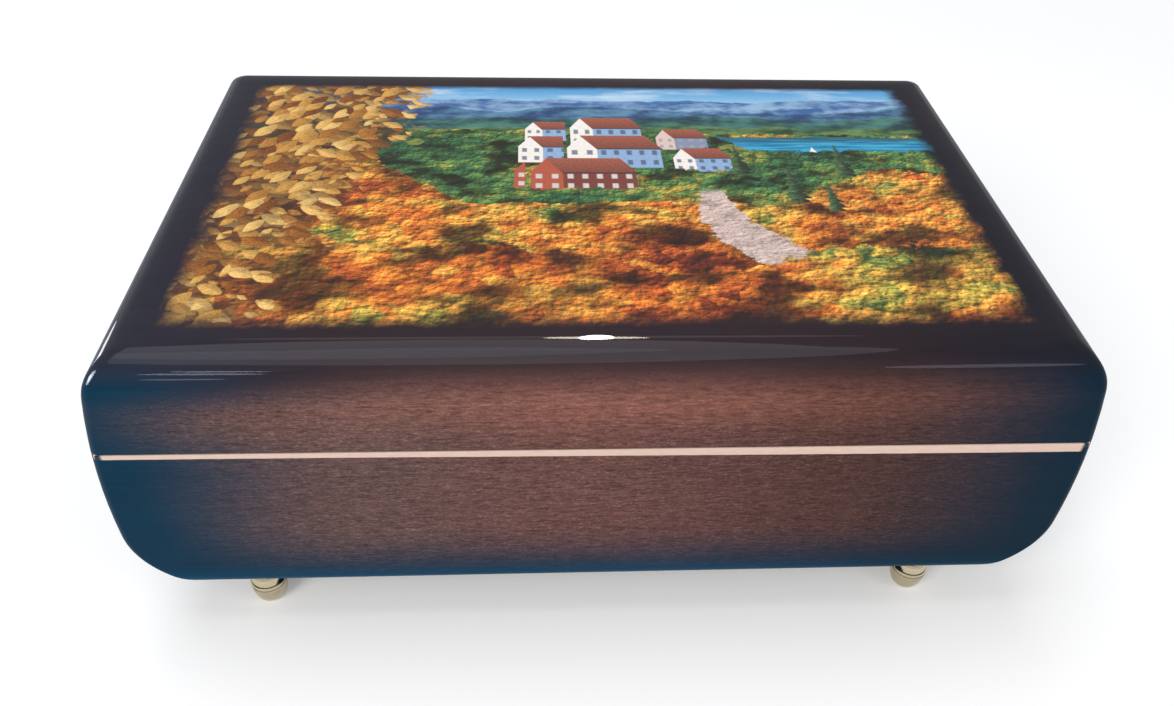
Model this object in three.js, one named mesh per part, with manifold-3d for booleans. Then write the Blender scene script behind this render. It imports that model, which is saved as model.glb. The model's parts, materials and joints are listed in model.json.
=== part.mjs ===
// Keepsake music box: a lacquered wooden case with bowed ends and a hinged lid, on four brass feet,
// holding a velvet lined tray and an eighteen note cylinder movement wound by a key underneath.
// Millimetres. X runs along the front, Y runs from the front to the back, Z is up.
// The origin is on the table, in the middle of the four feet.

import * as THREE from 'three';
import { mergeVertices } from 'three/addons/utils/BufferGeometryUtils.js';
import Module from 'manifold-3d';

const wasm = await Module();
wasm.setup();

// Outside of the case
const CASE_DEPTH = 108.5;
const CASE_HEIGHT = 56;
const SHOULDER_WIDTH = 170;      // across the ends, where the top rounding begins
const END_BULGE = 3.15;          // how far each end swells past the shoulder
const BULGE_HEIGHT = 18.75;      // height of the widest place over the underside
const TOP_ROUNDING = 7.25;
const END_FOOT_ROUNDING = 15;    // large curve that tucks the ends in under the case
const FACE_FOOT_ROUNDING = 3;    // lower edge of the front and the back
const CORNER_ROUNDING = 1.8;     // upright corners, seen from above
const SEAM_HEIGHT = 37;          // where the lid parts from the base, over the underside

// Feet
const FOOT_HEIGHT = 11.5;
const FOOT_RADIUS = 3.6;
const FOOT_WAIST_RADIUS = 2.7;
const FOOT_TREAD_RADIUS = 2.2;
const FOOT_BOWL_HEIGHT = 4.6;    // from the table to the widest place
const FOOT_RIM = 0.8;            // upright edge there
const FOOT_SLOPE = 1.2;          // from the edge in to the waist
const FOOT_FLANGE = 2.3;         // under the case
const FOOT_FLANGE_TAPER = 0.8;
const FOOT_FROM_SHOULDER = 18.6;
const FOOT_FROM_FACE = 6.75;
const FOOT_PEG_RADIUS = 1.25;
const FOOT_PEG_LENGTH = 3.5;

// Wood inside
const WALL = 6;                  // front and back
const END_WALL = 7;              // at the shoulder
const FLOOR_THICKNESS = 6.5;     // the flange round the floor opening
const FLOOR_OPENING_FROM_END = 12;
const FLOOR_OPENING_FROM_FACE = 8.25;
const BOARD_LEDGE = 3;           // how far the bottom board reaches under the flange
const BOARD_THICKNESS = 3;
const BAND_HEIGHT = 1;           // pale wood line at the seam
const LID_GAP = 0.25;
const LID_TOP_THICKNESS = 6;
const PICTURE_MARGIN = 2.5;      // from the picture to the start of the top rounding
const PICTURE_THICKNESS = 0.5;

// Compartments
const PARTITION_FROM_BEDPLATE = 4.5;
const PARTITION_THICKNESS = 3.5;
const GLASS_THICKNESS = 2;
const GLASS_BELOW_SEAM = 3;      // from the upper face of the glass to the seam
const LEDGE_SIZE = 3;
const FINGER_NOTCH_RADIUS = 6;
const TRAY_FLOOR_THICKNESS = 1.5;
const LINING_THICKNESS = 1;
const LINING_BELOW_SEAM = 2;
const PAD_HEIGHT = 3;
const PAD_CROWN = 0.75;
const PAD_DRAW_IN = 0.6;         // how much its upper edge stands back
const LID_PAD_THICKNESS = 3;
const LID_PAD_MARGIN = 2;

// Clearances
const SEAT_GAP = 0.25;           // round a piece that is dropped into the wood
const RUNNING_GAP = 0.15;        // round a shaft
const CUT_GAP = 0.3;             // round a peg or a screw
const PASS = 1;                  // how far a cutting tool runs past what it cuts

// Hinges
const HINGE_LENGTH = 20;
const HINGE_FROM_SHOULDER = 29;
const LEAF_DEPTH = 5;
const LEAF_THICKNESS = 1;
const KNUCKLE_RADIUS = 1.9;
const HINGE_PIN_RADIUS = 0.7;
const MIDDLE_KNUCKLE = 9.5;
const SCREW_HEAD_RADIUS = 1.4;
const SCREW_HEAD_HEIGHT = 0.8;
const SCREW_SHANK_RADIUS = 0.6;
const SCREW_LENGTH = 5;
const SCREW_POINT = 0.1;
const SCREW_FROM_HINGE_MIDDLE = 7.5;
const SCREW_FROM_PIN = 3.3;

// Movement: its own corner of measures, from the barrel's upright axis and the bottom board
const MOVEMENT_Y = -15;
const BEDPLATE_LEFT = 13.5;
const BEDPLATE_RIGHT = 26.5;
const BEDPLATE_FRONT = 12.5;
const BEDPLATE_BACK = 42.5;
const BEDPLATE_THICKNESS = 2.5;
const BEDPLATE_SIDE_GAP = 0.5;
const MOUNT_SCREW_FROM_EDGE = 4.25;

// Winding gear and barrel
const WINDING_ARBOR_RADIUS = 1.75;
const RATCHET_RADIUS = 6;
const RATCHET_THICKNESS = 1;
const RATCHET_TEETH = 16;
const RATCHET_TOOTH_DEPTH = 0.9;
const CLICK_CLEARANCE = 0.4;
const CLICK_ANGLE = 200;         // degrees, where its tip meets the wheel
const CLICK_LENGTH = 6.2;
const CLICK_SLANT = 237;         // degrees, from the tip to the rivet
const CLICK_TIP_HALF = 0.5;
const CLICK_HEEL_HALF = 1.2;
const CLICK_RIVET_RADIUS = 1.7;
const BARREL_RADIUS = 10.5;
const BARREL_HEIGHT = 8.25;
const BARREL_WALL = 0.8;
const BARREL_TOP = 1;
const BARREL_COVER = 0.75;
const SPRING_TURNS = 5;
const SPRING_STRIP = 0.45;
const STACK_GAP = 0.5;           // between the barrel and what turns above or below it

// Wheel work
const CROWN_TEETH = 40;
const CROWN_RADIUS = 9;          // at the middle of the tooth band
const CROWN_BAND = 1.9;
const CROWN_TOOTH_HEIGHT = 0.9;
const CROWN_PLAY = 0.1;
const DRIVE_TEETH = 10;
const DRIVE_WIDTH = 2;
const GREAT_TEETH = 36;
const GREAT_WIDTH = 1.25;
const GOVERNOR_TEETH = 9;
const TRAIN_MODULE = 0.4;
const WORM_WHEEL_TEETH = 20;
const WORM_WHEEL_WIDTH = 2;
const WORM_STARTS = 2;
const WORM_RADIUS = 1.3;         // at the pitch line
const WORM_LENGTH = 6;
const WORM_TOOTH_SHARE = 0.29;
const WORM_ADDENDUM = 0.85;      // in modules
const WORM_SLOPE = 0.22;
const WORM_ROOT_SINK = 0.1;
const TOOTH_SHARE = 0.36;        // tooth thickness as a share of the pitch, the rest is play
const PRESSURE_SLOPE = 0.364;    // slope of a tooth's side
const ADDENDUM = 0.95;           // in modules
const DEDENDUM = 1.25;           // in modules
const GOVERNOR_DROP = 45;        // degrees below level, from the cylinder to the governor

// Cylinder and comb
const CYLINDER_RADIUS = 6.7;
const CYLINDER_FROM_BARREL = 1;
const CYLINDER_ARBOR_RADIUS = 0.8;
const NOTES = 18;
const NOTE_PITCH = 1.2;
const CYLINDER_END_MARGIN = 0.7;
const PIN_HEIGHT = 0.9;
const PIN_SIZE = 0.4;
const PIN_ROOT = 0.6;
const PINS_PER_NOTE = 3;
const TUNE_STEP = 0.382;         // share of a turn from one note's first pin to the next note's
const TUNE_DRIFT = 0.04;         // and how that changes from beat to beat
const TIP_CLEARANCE = 0.2;
const COMB_TOOTH_LENGTH = 10;
const COMB_BACK = 7;
const COMB_THICKNESS = 1;
const COMB_SLOT = 0.35;
const COMB_BELOW_AXIS = 0.3;     // underside of the comb, below the cylinder's axis
const COMB_SCREW_RADIUS = 2.2;
const COMB_SCREW_SHANK = 1;
const COMB_SCREW_HEAD = 1.4;
const COMB_SCREW_DOME = 0.6;
const COMB_SCREW_LENGTH = 6;
const COMB_SCREW_FROM_END = 4.75;

// Frames of the movement
const BRIDGE_THICKNESS = 1.5;
const BRIDGE_FROM_AXIS = 4.5;
const BRIDGE_LEG = 2.25;
const BRIDGE_HEIGHT = 5;
const BRIDGE_SIDE_GAP = 0.75;
const BRIDGE_CHAMFER = 1.5;
const TONGUE_HALF = 3;
const REAR_BRACKET_LEFT = 4;
const FRAME_PLATE = 0.75;
const FRAME_FOOT = 1.5;
const FRAME_OVER_AXIS = 3;       // wood or metal left over a bearing
const CHEEK_HALF = 2.7;
const ARM_THICKNESS = 1;
const ARM_HALF = 1.5;
const PIVOT_SINK = 0.5;          // from the bedplate to the bottom of the fan's lower bearing
const PIVOT_END_GAP = 0.3;
const GOVERNOR_ARBOR_RADIUS = 0.7;
const FAN_SHAFT_RADIUS = 0.6;
const FAN_RADIUS = 4;
const FAN_HEIGHT = 5.5;
const FAN_BLADE = 0.4;
const FAN_HUB_RADIUS = 1.2;
const FAN_OVER_WHEEL = 0.7;
const FAN_TOP_GAP = 2;
const FAN_SIDE_GAP = 1;
const MOUNT_SCREW_HEAD_RADIUS = 3;
const MOUNT_SCREW_HEAD = 1.25;
const MOUNT_SCREW_BEVEL = 0.6;
const MOUNT_SCREW_SHANK = 1.2;

// Winding key
const KEY_WIDTH = 21;
const KEY_THICKNESS = 2.2;
const KEY_LOBE_RADIUS = 3.4;
const KEY_EYE_RADIUS = 1.35;
const KEY_WEB_HALF = 2;
const KEY_STEM_HALF = 2.6;
const KEY_STEM_SINK = 0.5;
const KEY_COLLAR_RADIUS = 3.25;
const KEY_COLLAR_HEIGHT = 4;
const KEY_BELOW_BOARD = 1;
const KEY_OVER_TABLE = 1.25;
const ARBOR_IN_KEY = 3;

// Stop rod
const ROD_RADIUS = 0.8;
const ROD_GROOVE_WIDTH = 2.2;
const ROD_GROOVE_DEPTH = 2.5;
const ROD_UNDER_LID = 0.3;
const ROD_FAN_GAP = 0.4;
const ROD_OVER_FAN_MIDDLE = 1.5;
const ROD_BEND = 3;

// Places worked out from the sizes
const underside = FOOT_HEIGHT;
const seam = underside + SEAM_HEIGHT;
const lidBottom = seam + LID_GAP;
const top = underside + CASE_HEIGHT;
const halfDepth = CASE_DEPTH / 2;
const innerX = SHOULDER_WIDTH / 2 - END_WALL;
const innerY = halfDepth - WALL;
const boardTop = underside + BOARD_THICKNESS;
const floorTop = underside + FLOOR_THICKNESS;
const openingX = innerX - FLOOR_OPENING_FROM_END;
const openingY = innerY - FLOOR_OPENING_FROM_FACE;
const boardX = openingX + BOARD_LEDGE;
const boardY = openingY + BOARD_LEDGE;
const footX = SHOULDER_WIDTH / 2 - FOOT_FROM_SHOULDER;
const footY = halfDepth - FOOT_FROM_FACE;
const glassTop = seam - GLASS_BELOW_SEAM;
const glassBottom = glassTop - GLASS_THICKNESS;
const hingeMiddle = SHOULDER_WIDTH / 2 - HINGE_FROM_SHOULDER;
const hingeZ = seam + LID_GAP / 2;
const movementX = BEDPLATE_SIDE_GAP + BEDPLATE_LEFT - openingX;
const partitionLeft = movementX + BEDPLATE_RIGHT + PARTITION_FROM_BEDPLATE;
const partitionRight = partitionLeft + PARTITION_THICKNESS;

// Heights over the bottom board, inside the movement
const ratchetZ = BEDPLATE_THICKNESS + SEAT_GAP;
const barrelZ = ratchetZ + RATCHET_THICKNESS + STACK_GAP;
const barrelTopZ = barrelZ + BARREL_HEIGHT;
const crownModule = 2 * CROWN_RADIUS / CROWN_TEETH;
const driveRadius = crownModule * DRIVE_TEETH / 2;
const crownPitchZ = barrelTopZ + CROWN_TOOTH_HEIGHT / 2 + CROWN_PLAY;
const axisZ = crownPitchZ + driveRadius;
const bridgeZ = barrelTopZ + CROWN_TOOTH_HEIGHT + STACK_GAP;
const cylinderFront = BARREL_RADIUS + CYLINDER_FROM_BARREL;
const cylinderBack = cylinderFront + NOTES * NOTE_PITCH + 2 * CYLINDER_END_MARGIN;
const greatFront = cylinderBack + STACK_GAP;
const greatBack = greatFront + GREAT_WIDTH;
const greatRadius = TRAIN_MODULE * GREAT_TEETH / 2;
const governorRadius = TRAIN_MODULE * GOVERNOR_TEETH / 2;
const wormWheelRadius = TRAIN_MODULE * WORM_WHEEL_TEETH / 2;
const drop = THREE.MathUtils.degToRad(GOVERNOR_DROP);
const governorX = (greatRadius + governorRadius) * Math.cos(drop);
const governorZ = axisZ - (greatRadius + governorRadius) * Math.sin(drop);
const frameFront = greatBack + STACK_GAP;
const wormWheelFront = frameFront + FRAME_PLATE + STACK_GAP;
const wormY = wormWheelFront + WORM_WHEEL_WIDTH / 2;
const frameBack = wormWheelFront + WORM_WHEEL_WIDTH + STACK_GAP;
const wormX = governorX + wormWheelRadius + WORM_RADIUS;
const fanBottom = governorZ + wormWheelRadius + TRAIN_MODULE + FAN_OVER_WHEEL;
const fanTop = fanBottom + FAN_HEIGHT;
const armBottom = fanTop + FAN_TOP_GAP;
const armTop = armBottom + ARM_THICKNESS;
const combLeft = CYLINDER_RADIUS + PIN_HEIGHT + TIP_CLEARANCE;
const combRootX = combLeft + COMB_TOOTH_LENGTH;
const combRight = combRootX + COMB_BACK;
const combFront = cylinderFront + CYLINDER_END_MARGIN;
const combBack = combFront + NOTES * NOTE_PITCH;
const combBottom = axisZ - COMB_BELOW_AXIS;

// Finishes
const finish = (color, roughness, metalness = 0) =>
  new THREE.MeshStandardMaterial({ color, roughness, metalness });
const lacquer = finish(0x1d1a22, 0.12);
const printedPanel = finish(0x5c6d5a, 0.12);
const paleWood = finish(0xd9b9a0, 0.6);
const plainWood = finish(0x8a6242, 0.7);
const board = finish(0x6e4a30, 0.85);
const velvet = finish(0x5a0f1e, 0.95);
const brass = finish(0xb08a3e, 0.3, 1);
const steel = finish(0x9a9da2, 0.35, 1);
const dullSteel = finish(0x6f7175, 0.55, 1);
const zinc = finish(0x84868a, 0.5, 1);
const clear = new THREE.MeshStandardMaterial({
  color: 0xdfeaf0, roughness: 0.05, metalness: 0, transparent: true, opacity: 0.35,
});

// Turns a closed three.js geometry into a solid that can be joined and cut
function solid(geometry) {
  const bare = geometry.clone();
  bare.deleteAttribute('normal');
  bare.deleteAttribute('uv');
  const merged = mergeVertices(bare, 1e-5);
  return new wasm.Manifold(new wasm.Mesh({
    numProp: 3,
    vertProperties: new Float32Array(merged.attributes.position.array),
    triVerts: new Uint32Array(merged.index.array),
  }));
}

// Gives a solid back as a three.js geometry
function surface(shape) {
  const mesh = shape.getMesh();
  const geometry = new THREE.BufferGeometry();
  geometry.setAttribute('position', new THREE.BufferAttribute(mesh.vertProperties, 3));
  geometry.setIndex(new THREE.BufferAttribute(mesh.triVerts, 1));
  geometry.computeVertexNormals();
  return geometry;
}

const join = (...shapes) => shapes.reduce((a, b) => a.add(b));
const cut = (shape, ...tools) => tools.reduce((a, b) => a.subtract(b), shape);

// A box between two corners
function block([x0, y0, z0], [x1, y1, z1]) {
  const geometry = new THREE.BoxGeometry(x1 - x0, y1 - y0, z1 - z0);
  return solid(geometry.translate((x0 + x1) / 2, (y0 + y1) / 2, (z0 + z1) / 2));
}

// A block centred on the Z axis
const slab = (halfX, halfY, z0, z1) => block([-halfX, -halfY, z0], [halfX, halfY, z1]);

// A round bar along Z, standing at x, y
function rod(radius, z0, z1, x = 0, y = 0, sides = 16) {
  const geometry = new THREE.CylinderGeometry(radius, radius, z1 - z0, sides);
  return solid(geometry.rotateX(Math.PI / 2).translate(x, y, (z0 + z1) / 2));
}

// A round bar along Y, at x, z
function rodAlongY(radius, y0, y1, x, z, sides = 16) {
  const geometry = new THREE.CylinderGeometry(radius, radius, y1 - y0, sides);
  return solid(geometry.translate(x, (y0 + y1) / 2, z));
}

// A round bar along X, at y, z
function rodAlongX(radius, x0, x1, y, z, sides = 16) {
  const geometry = new THREE.CylinderGeometry(radius, radius, x1 - x0, sides);
  return solid(geometry.rotateZ(Math.PI / 2).translate((x0 + x1) / 2, y, z));
}

// A turned piece on the Z axis, from [radius, height] points that start and end on the axis
function turned(points, sides = 20) {
  const profile = points.map(([radius, height]) => new THREE.Vector2(radius, height));
  return solid(new THREE.LatheGeometry(profile, sides).rotateX(Math.PI / 2));
}

// A flat outline in XY, raised from z0 to z1
function plate(points, z0, z1) {
  const shape = new THREE.Shape(points.map(([x, y]) => new THREE.Vector2(x, y)));
  const geometry = new THREE.ExtrudeGeometry(shape, { depth: z1 - z0, bevelEnabled: false });
  return solid(geometry.translate(0, 0, z0));
}

// A flat outline in XZ, run from y0 to y1
function plateAlongY(points, y0, y1) {
  const shape = new THREE.Shape(points.map(([x, z]) => new THREE.Vector2(x, -z)));
  const geometry = new THREE.ExtrudeGeometry(shape, { depth: y1 - y0, bevelEnabled: false });
  return solid(geometry.rotateX(-Math.PI / 2).translate(0, y0, 0));
}

function named(name, shape, material, position = [0, 0, 0]) {
  const mesh = new THREE.Mesh(surface(shape), material);
  mesh.name = name;
  mesh.position.set(...position);
  return mesh;
}

// Outer form of the case

// The end's upright section is one large arc between two small ones, all tangent
const arcRise = CASE_HEIGHT - TOP_ROUNDING - BULGE_HEIGHT;
const arcRadius = (END_BULGE ** 2 + arcRise ** 2) / (2 * END_BULGE);
const arcX = SHOULDER_WIDTH / 2 + END_BULGE - arcRadius;

function tangentRound(radius, centreHeight) {
  const reach = arcRadius - radius;
  const rise = centreHeight - BULGE_HEIGHT;
  return {
    x: arcX + Math.sqrt(reach ** 2 - rise ** 2),
    z: centreHeight,
    meets: BULGE_HEIGHT + rise * arcRadius / reach,
    radius,
  };
}
const lowRound = tangentRound(END_FOOT_ROUNDING, END_FOOT_ROUNDING);
const highRound = tangentRound(TOP_ROUNDING, CASE_HEIGHT - TOP_ROUNDING);

const onCircle = (radius, rise) => Math.sqrt(Math.max(radius ** 2 - rise ** 2, 0));

// Half the case's width at a height over its underside
function halfWidthAt(height) {
  for (const round of [lowRound, highRound]) {
    const below = round === lowRound;
    if (below ? height < round.meets : height > round.meets) {
      return round.x + onCircle(round.radius, height - round.z);
    }
  }
  return arcX + onCircle(arcRadius, height - BULGE_HEIGHT);
}

// Half the case's depth there: a flat face with both its edges rounded
function halfDepthAt(height) {
  const overTop = height - (CASE_HEIGHT - TOP_ROUNDING);
  if (overTop > 0) return halfDepth - TOP_ROUNDING + onCircle(TOP_ROUNDING, overTop);
  const under = FACE_FOOT_ROUNDING - height;
  if (under > 0) return halfDepth - FACE_FOOT_ROUNDING + onCircle(FACE_FOOT_ROUNDING, under);
  return halfDepth;
}

// Heights at which the form is cut into rings: close together on the small rounds
function formHeights() {
  const heights = [];
  for (let step = 0; step <= 3; step += 1) {
    heights.push(FACE_FOOT_ROUNDING * (1 - Math.cos(step * Math.PI / 6)));
  }
  for (let step = 2; step < 6; step += 1) {
    heights.push(END_FOOT_ROUNDING * (1 - Math.cos(step * Math.PI / 14)));
  }
  heights.push(BULGE_HEIGHT, (BULGE_HEIGHT + SEAM_HEIGHT) / 2);
  const shoulder = CASE_HEIGHT - TOP_ROUNDING;
  heights.push((SEAM_HEIGHT + shoulder) / 2);
  for (let step = 0; step <= 6; step += 1) {
    heights.push(shoulder + TOP_ROUNDING * Math.sin(step * Math.PI / 12));
  }
  return heights;
}

// One closed stretch of the form between two heights over the underside
function form(from, to) {
  const between = formHeights().filter((height) => height > from + 0.05 && height < to - 0.05);
  const heights = [from, ...between.sort((a, b) => a - b), to];
  const cornerSteps = 3;
  const ringSize = 4 * (cornerSteps + 1);
  const positions = [];
  for (const height of heights) {
    const x = halfWidthAt(height) - CORNER_ROUNDING;
    const y = halfDepthAt(height) - CORNER_ROUNDING;
    for (let corner = 0; corner < 4; corner += 1) {
      const signX = corner === 0 || corner === 3 ? 1 : -1;
      const signY = corner < 2 ? 1 : -1;
      for (let step = 0; step <= cornerSteps; step += 1) {
        const angle = (corner + step / cornerSteps) * Math.PI / 2;
        const outX = signX * x + CORNER_ROUNDING * Math.cos(angle);
        const outY = signY * y + CORNER_ROUNDING * Math.sin(angle);
        positions.push(outX, outY, underside + height);
      }
    }
  }
  const faces = [];
  for (let ring = 0; ring < heights.length - 1; ring += 1) {
    for (let point = 0; point < ringSize; point += 1) {
      const next = (point + 1) % ringSize;
      const low = ring * ringSize;
      const high = low + ringSize;
      faces.push(low + point, low + next, high + next, low + point, high + next, high + point);
    }
  }
  const last = (heights.length - 1) * ringSize;
  for (let point = 1; point < ringSize - 1; point += 1) {
    faces.push(0, point + 1, point, last, last + point, last + point + 1);
  }
  const geometry = new THREE.BufferGeometry();
  geometry.setAttribute('position', new THREE.Float32BufferAttribute(positions, 3));
  geometry.setIndex(faces);
  return solid(geometry);
}

// Countersunk wood screw, head up, its top at height 0
function screwBody() {
  return turned([
    [0, -SCREW_LENGTH],
    [SCREW_SHANK_RADIUS, SCREW_POINT - SCREW_LENGTH],
    [SCREW_SHANK_RADIUS, -SCREW_HEAD_HEIGHT],
    [SCREW_HEAD_RADIUS, 0],
    [0, 0],
  ], 10);
}

// The hole that takes it, wider by a gap and open above
function screwHole(gap) {
  return turned([
    [0, -SCREW_LENGTH - gap],
    [SCREW_SHANK_RADIUS + gap, SCREW_POINT - SCREW_LENGTH - gap],
    [SCREW_SHANK_RADIUS + gap, -SCREW_HEAD_HEIGHT],
    [SCREW_HEAD_RADIUS + gap, 0],
    [SCREW_HEAD_RADIUS + gap, PASS],
    [0, PASS],
  ], 10);
}

// Places of the hinges and their screws
const hingeSides = [['left', -1], ['right', 1]];
const screwSpots = [['a', -1], ['b', 1]];
const screwXY = (side, end) => [
  side * hingeMiddle + end * SCREW_FROM_HINGE_MIDDLE,
  halfDepth - SCREW_FROM_PIN,
];

// What each hinge takes out of the wood: room for its knuckles, and a seat for one leaf
function hingeSeat(side, leafLow, leafHigh) {
  const middle = side * hingeMiddle;
  const reach = HINGE_LENGTH / 2 + SEAT_GAP;
  const radius = KNUCKLE_RADIUS + CUT_GAP;
  const room = rodAlongX(radius, middle - reach, middle + reach, halfDepth, hingeZ);
  const seat = block(
    [middle - reach, halfDepth - LEAF_DEPTH - SEAT_GAP, leafLow],
    [middle + reach, halfDepth + PASS, leafHigh],
  );
  return room.add(seat);
}

// The groove in the back wall that guides the stop rod
const rodX = movementX + wormX;
const rodY = innerY + ROD_GROOVE_DEPTH / 2;
const fingerZ = boardTop + (fanBottom + fanTop) / 2 + ROD_OVER_FAN_MIDDLE;
const rodGroove = () => block(
  [rodX - ROD_GROOVE_WIDTH / 2, innerY - PASS, fingerZ - ROD_RADIUS - ROD_BEND],
  [rodX + ROD_GROOVE_WIDTH / 2, innerY + ROD_GROOVE_DEPTH, seam + PASS],
);

// Wooden case

function baseBody() {
  const leafLow = seam - LEAF_THICKNESS;
  let body = cut(
    form(0, SEAM_HEIGHT - BAND_HEIGHT),
    slab(innerX, innerY, floorTop, top),
    slab(openingX, openingY, underside - PASS, top),
    slab(boardX, boardY, underside - PASS, boardTop),
    rodGroove(),
  );
  for (const [, side] of hingeSides) {
    body = cut(body, hingeSeat(side, leafLow, seam + PASS));
    for (const [, end] of screwSpots) {
      const [x, y] = screwXY(side, end);
      body = cut(body, screwHole(CUT_GAP).translate([x, y, seam]));
    }
  }
  for (const sx of [-1, 1]) {
    for (const sy of [-1, 1]) {
      const depth = FOOT_PEG_LENGTH + CUT_GAP;
      const radius = FOOT_PEG_RADIUS + CUT_GAP;
      body = cut(body, rod(radius, underside - PASS, underside + depth, sx * footX, sy * footY, 12));
    }
  }
  return named('base_body', body, lacquer);
}

function rimBanding() {
  let band = cut(
    form(SEAM_HEIGHT - BAND_HEIGHT, SEAM_HEIGHT),
    slab(innerX, innerY, underside, top),
    rodGroove(),
  );
  for (const [, side] of hingeSides) {
    band = cut(band, hingeSeat(side, seam - LEAF_THICKNESS, seam + PASS));
  }
  return named('rim_banding', band, paleWood);
}

function lidShell() {
  const picture = pictureHalf();
  let shell = cut(
    form(SEAM_HEIGHT + LID_GAP, CASE_HEIGHT),
    slab(innerX, innerY, underside, top - LID_TOP_THICKNESS),
    slab(picture.x, picture.y, top - PICTURE_THICKNESS, top + PASS),
  );
  for (const [, side] of hingeSides) {
    shell = cut(shell, hingeSeat(side, seam, lidBottom + LEAF_THICKNESS));
    for (const [, end] of screwSpots) {
      const [x, y] = screwXY(side, end);
      const hole = screwHole(CUT_GAP).rotate([180, 0, 0]).translate([x, y, lidBottom]);
      shell = cut(shell, hole);
    }
  }
  return named('lid_shell', shell, lacquer);
}

// Half size of the picture, held to whole eighths so that it fills its recess exactly
function pictureHalf() {
  const eighths = (value) => Math.floor(value * 8) / 8;
  return {
    x: eighths(highRound.x - PICTURE_MARGIN),
    y: eighths(halfDepth - TOP_ROUNDING - PICTURE_MARGIN),
  };
}

function lidPicture() {
  const { x, y } = pictureHalf();
  return named('lid_picture', slab(x, y, top - PICTURE_THICKNESS, top), printedPanel);
}

function bottomBoard() {
  const hole = (radius, x, y, sides) =>
    rod(radius, underside - PASS, boardTop + PASS, movementX + x, MOVEMENT_Y + y, sides);
  let panel = cut(slab(boardX, boardY, underside, boardTop), hole(KEY_COLLAR_RADIUS + PASS, 0, 0, 24));
  for (const [x, y] of mountScrewSpots) panel = cut(panel, hole(MOUNT_SCREW_SHANK + CUT_GAP, x, y, 12));
  return named('bottom_board', panel, board);
}

// A turned brass foot: flat tread, bowl, upright rim, waist, flange and a peg up into the case
function foot(name, x, y) {
  const bowl = [1, 2].map((step) => {
    const angle = step * Math.PI / 6;
    const swell = (FOOT_RADIUS - FOOT_TREAD_RADIUS) * Math.sin(angle);
    return [FOOT_TREAD_RADIUS + swell, FOOT_BOWL_HEIGHT * (1 - Math.cos(angle))];
  });
  const rimTop = FOOT_BOWL_HEIGHT + FOOT_RIM;
  const flangeBottom = FOOT_HEIGHT - FOOT_FLANGE;
  const shape = turned([
    [0, 0],
    [FOOT_TREAD_RADIUS, 0],
    ...bowl,
    [FOOT_RADIUS, FOOT_BOWL_HEIGHT],
    [FOOT_RADIUS, rimTop],
    [FOOT_WAIST_RADIUS, rimTop + FOOT_SLOPE],
    [FOOT_WAIST_RADIUS, flangeBottom - FOOT_FLANGE_TAPER],
    [FOOT_RADIUS, flangeBottom],
    [FOOT_RADIUS, FOOT_HEIGHT],
    [FOOT_PEG_RADIUS, FOOT_HEIGHT],
    [FOOT_PEG_RADIUS, FOOT_HEIGHT + FOOT_PEG_LENGTH],
    [0, FOOT_HEIGHT + FOOT_PEG_LENGTH],
  ], 16);
  return named(name, shape, brass, [x, y, 0]);
}

// Compartments

function partitionWall() {
  const low = openingY - SEAT_GAP;
  const wide = innerY - SEAT_GAP;
  const outline = [
    [-low, boardTop], [low, boardTop], [low, floorTop], [wide, floorTop],
    [wide, glassBottom], [-wide, glassBottom], [-wide, floorTop], [-low, floorTop],
  ];
  const shape = plateAlongY(outline, 0, PARTITION_THICKNESS)
    .rotate([0, 0, -90])
    .translate([partitionLeft, 0, 0]);
  return named('partition_wall', shape, plainWood);
}

function glassLedge(name, side) {
  const near = side * (innerY - LEDGE_SIZE);
  const far = side * innerY;
  const shape = block(
    [SEAT_GAP - innerX, Math.min(near, far), glassBottom - LEDGE_SIZE],
    [partitionLeft - SEAT_GAP, Math.max(near, far), glassBottom],
  );
  return named(name, shape, plainWood);
}

function glassCover() {
  const y = innerY - SEAT_GAP;
  const x0 = SEAT_GAP - innerX;
  const sheet = block([x0, -y, glassBottom], [partitionRight - SEAT_GAP, y, glassTop]);
  const middle = (x0 + partitionLeft) / 2;
  const notch = rod(FINGER_NOTCH_RADIUS, glassBottom - PASS, glassTop + PASS, middle, -y, 20);
  return named('glass_cover', cut(sheet, notch), clear);
}

const tray = {
  left: partitionRight + SEAT_GAP,
  right: innerX - SEAT_GAP,
  y: innerY - SEAT_GAP,
  top: floorTop + TRAY_FLOOR_THICKNESS,
};

function trayFloor() {
  const shape = block([tray.left, -tray.y, floorTop], [tray.right, tray.y, tray.top]);
  return named('tray_floor', shape, board);
}

function trayLining() {
  const height = seam - LINING_BELOW_SEAM;
  const outer = block([tray.left, -tray.y, tray.top], [tray.right, tray.y, height]);
  const inner = block(
    [tray.left + LINING_THICKNESS, LINING_THICKNESS - tray.y, tray.top - PASS],
    [tray.right - LINING_THICKNESS, tray.y - LINING_THICKNESS, height + PASS],
  );
  return named('tray_lining', cut(outer, inner), velvet);
}

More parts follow.
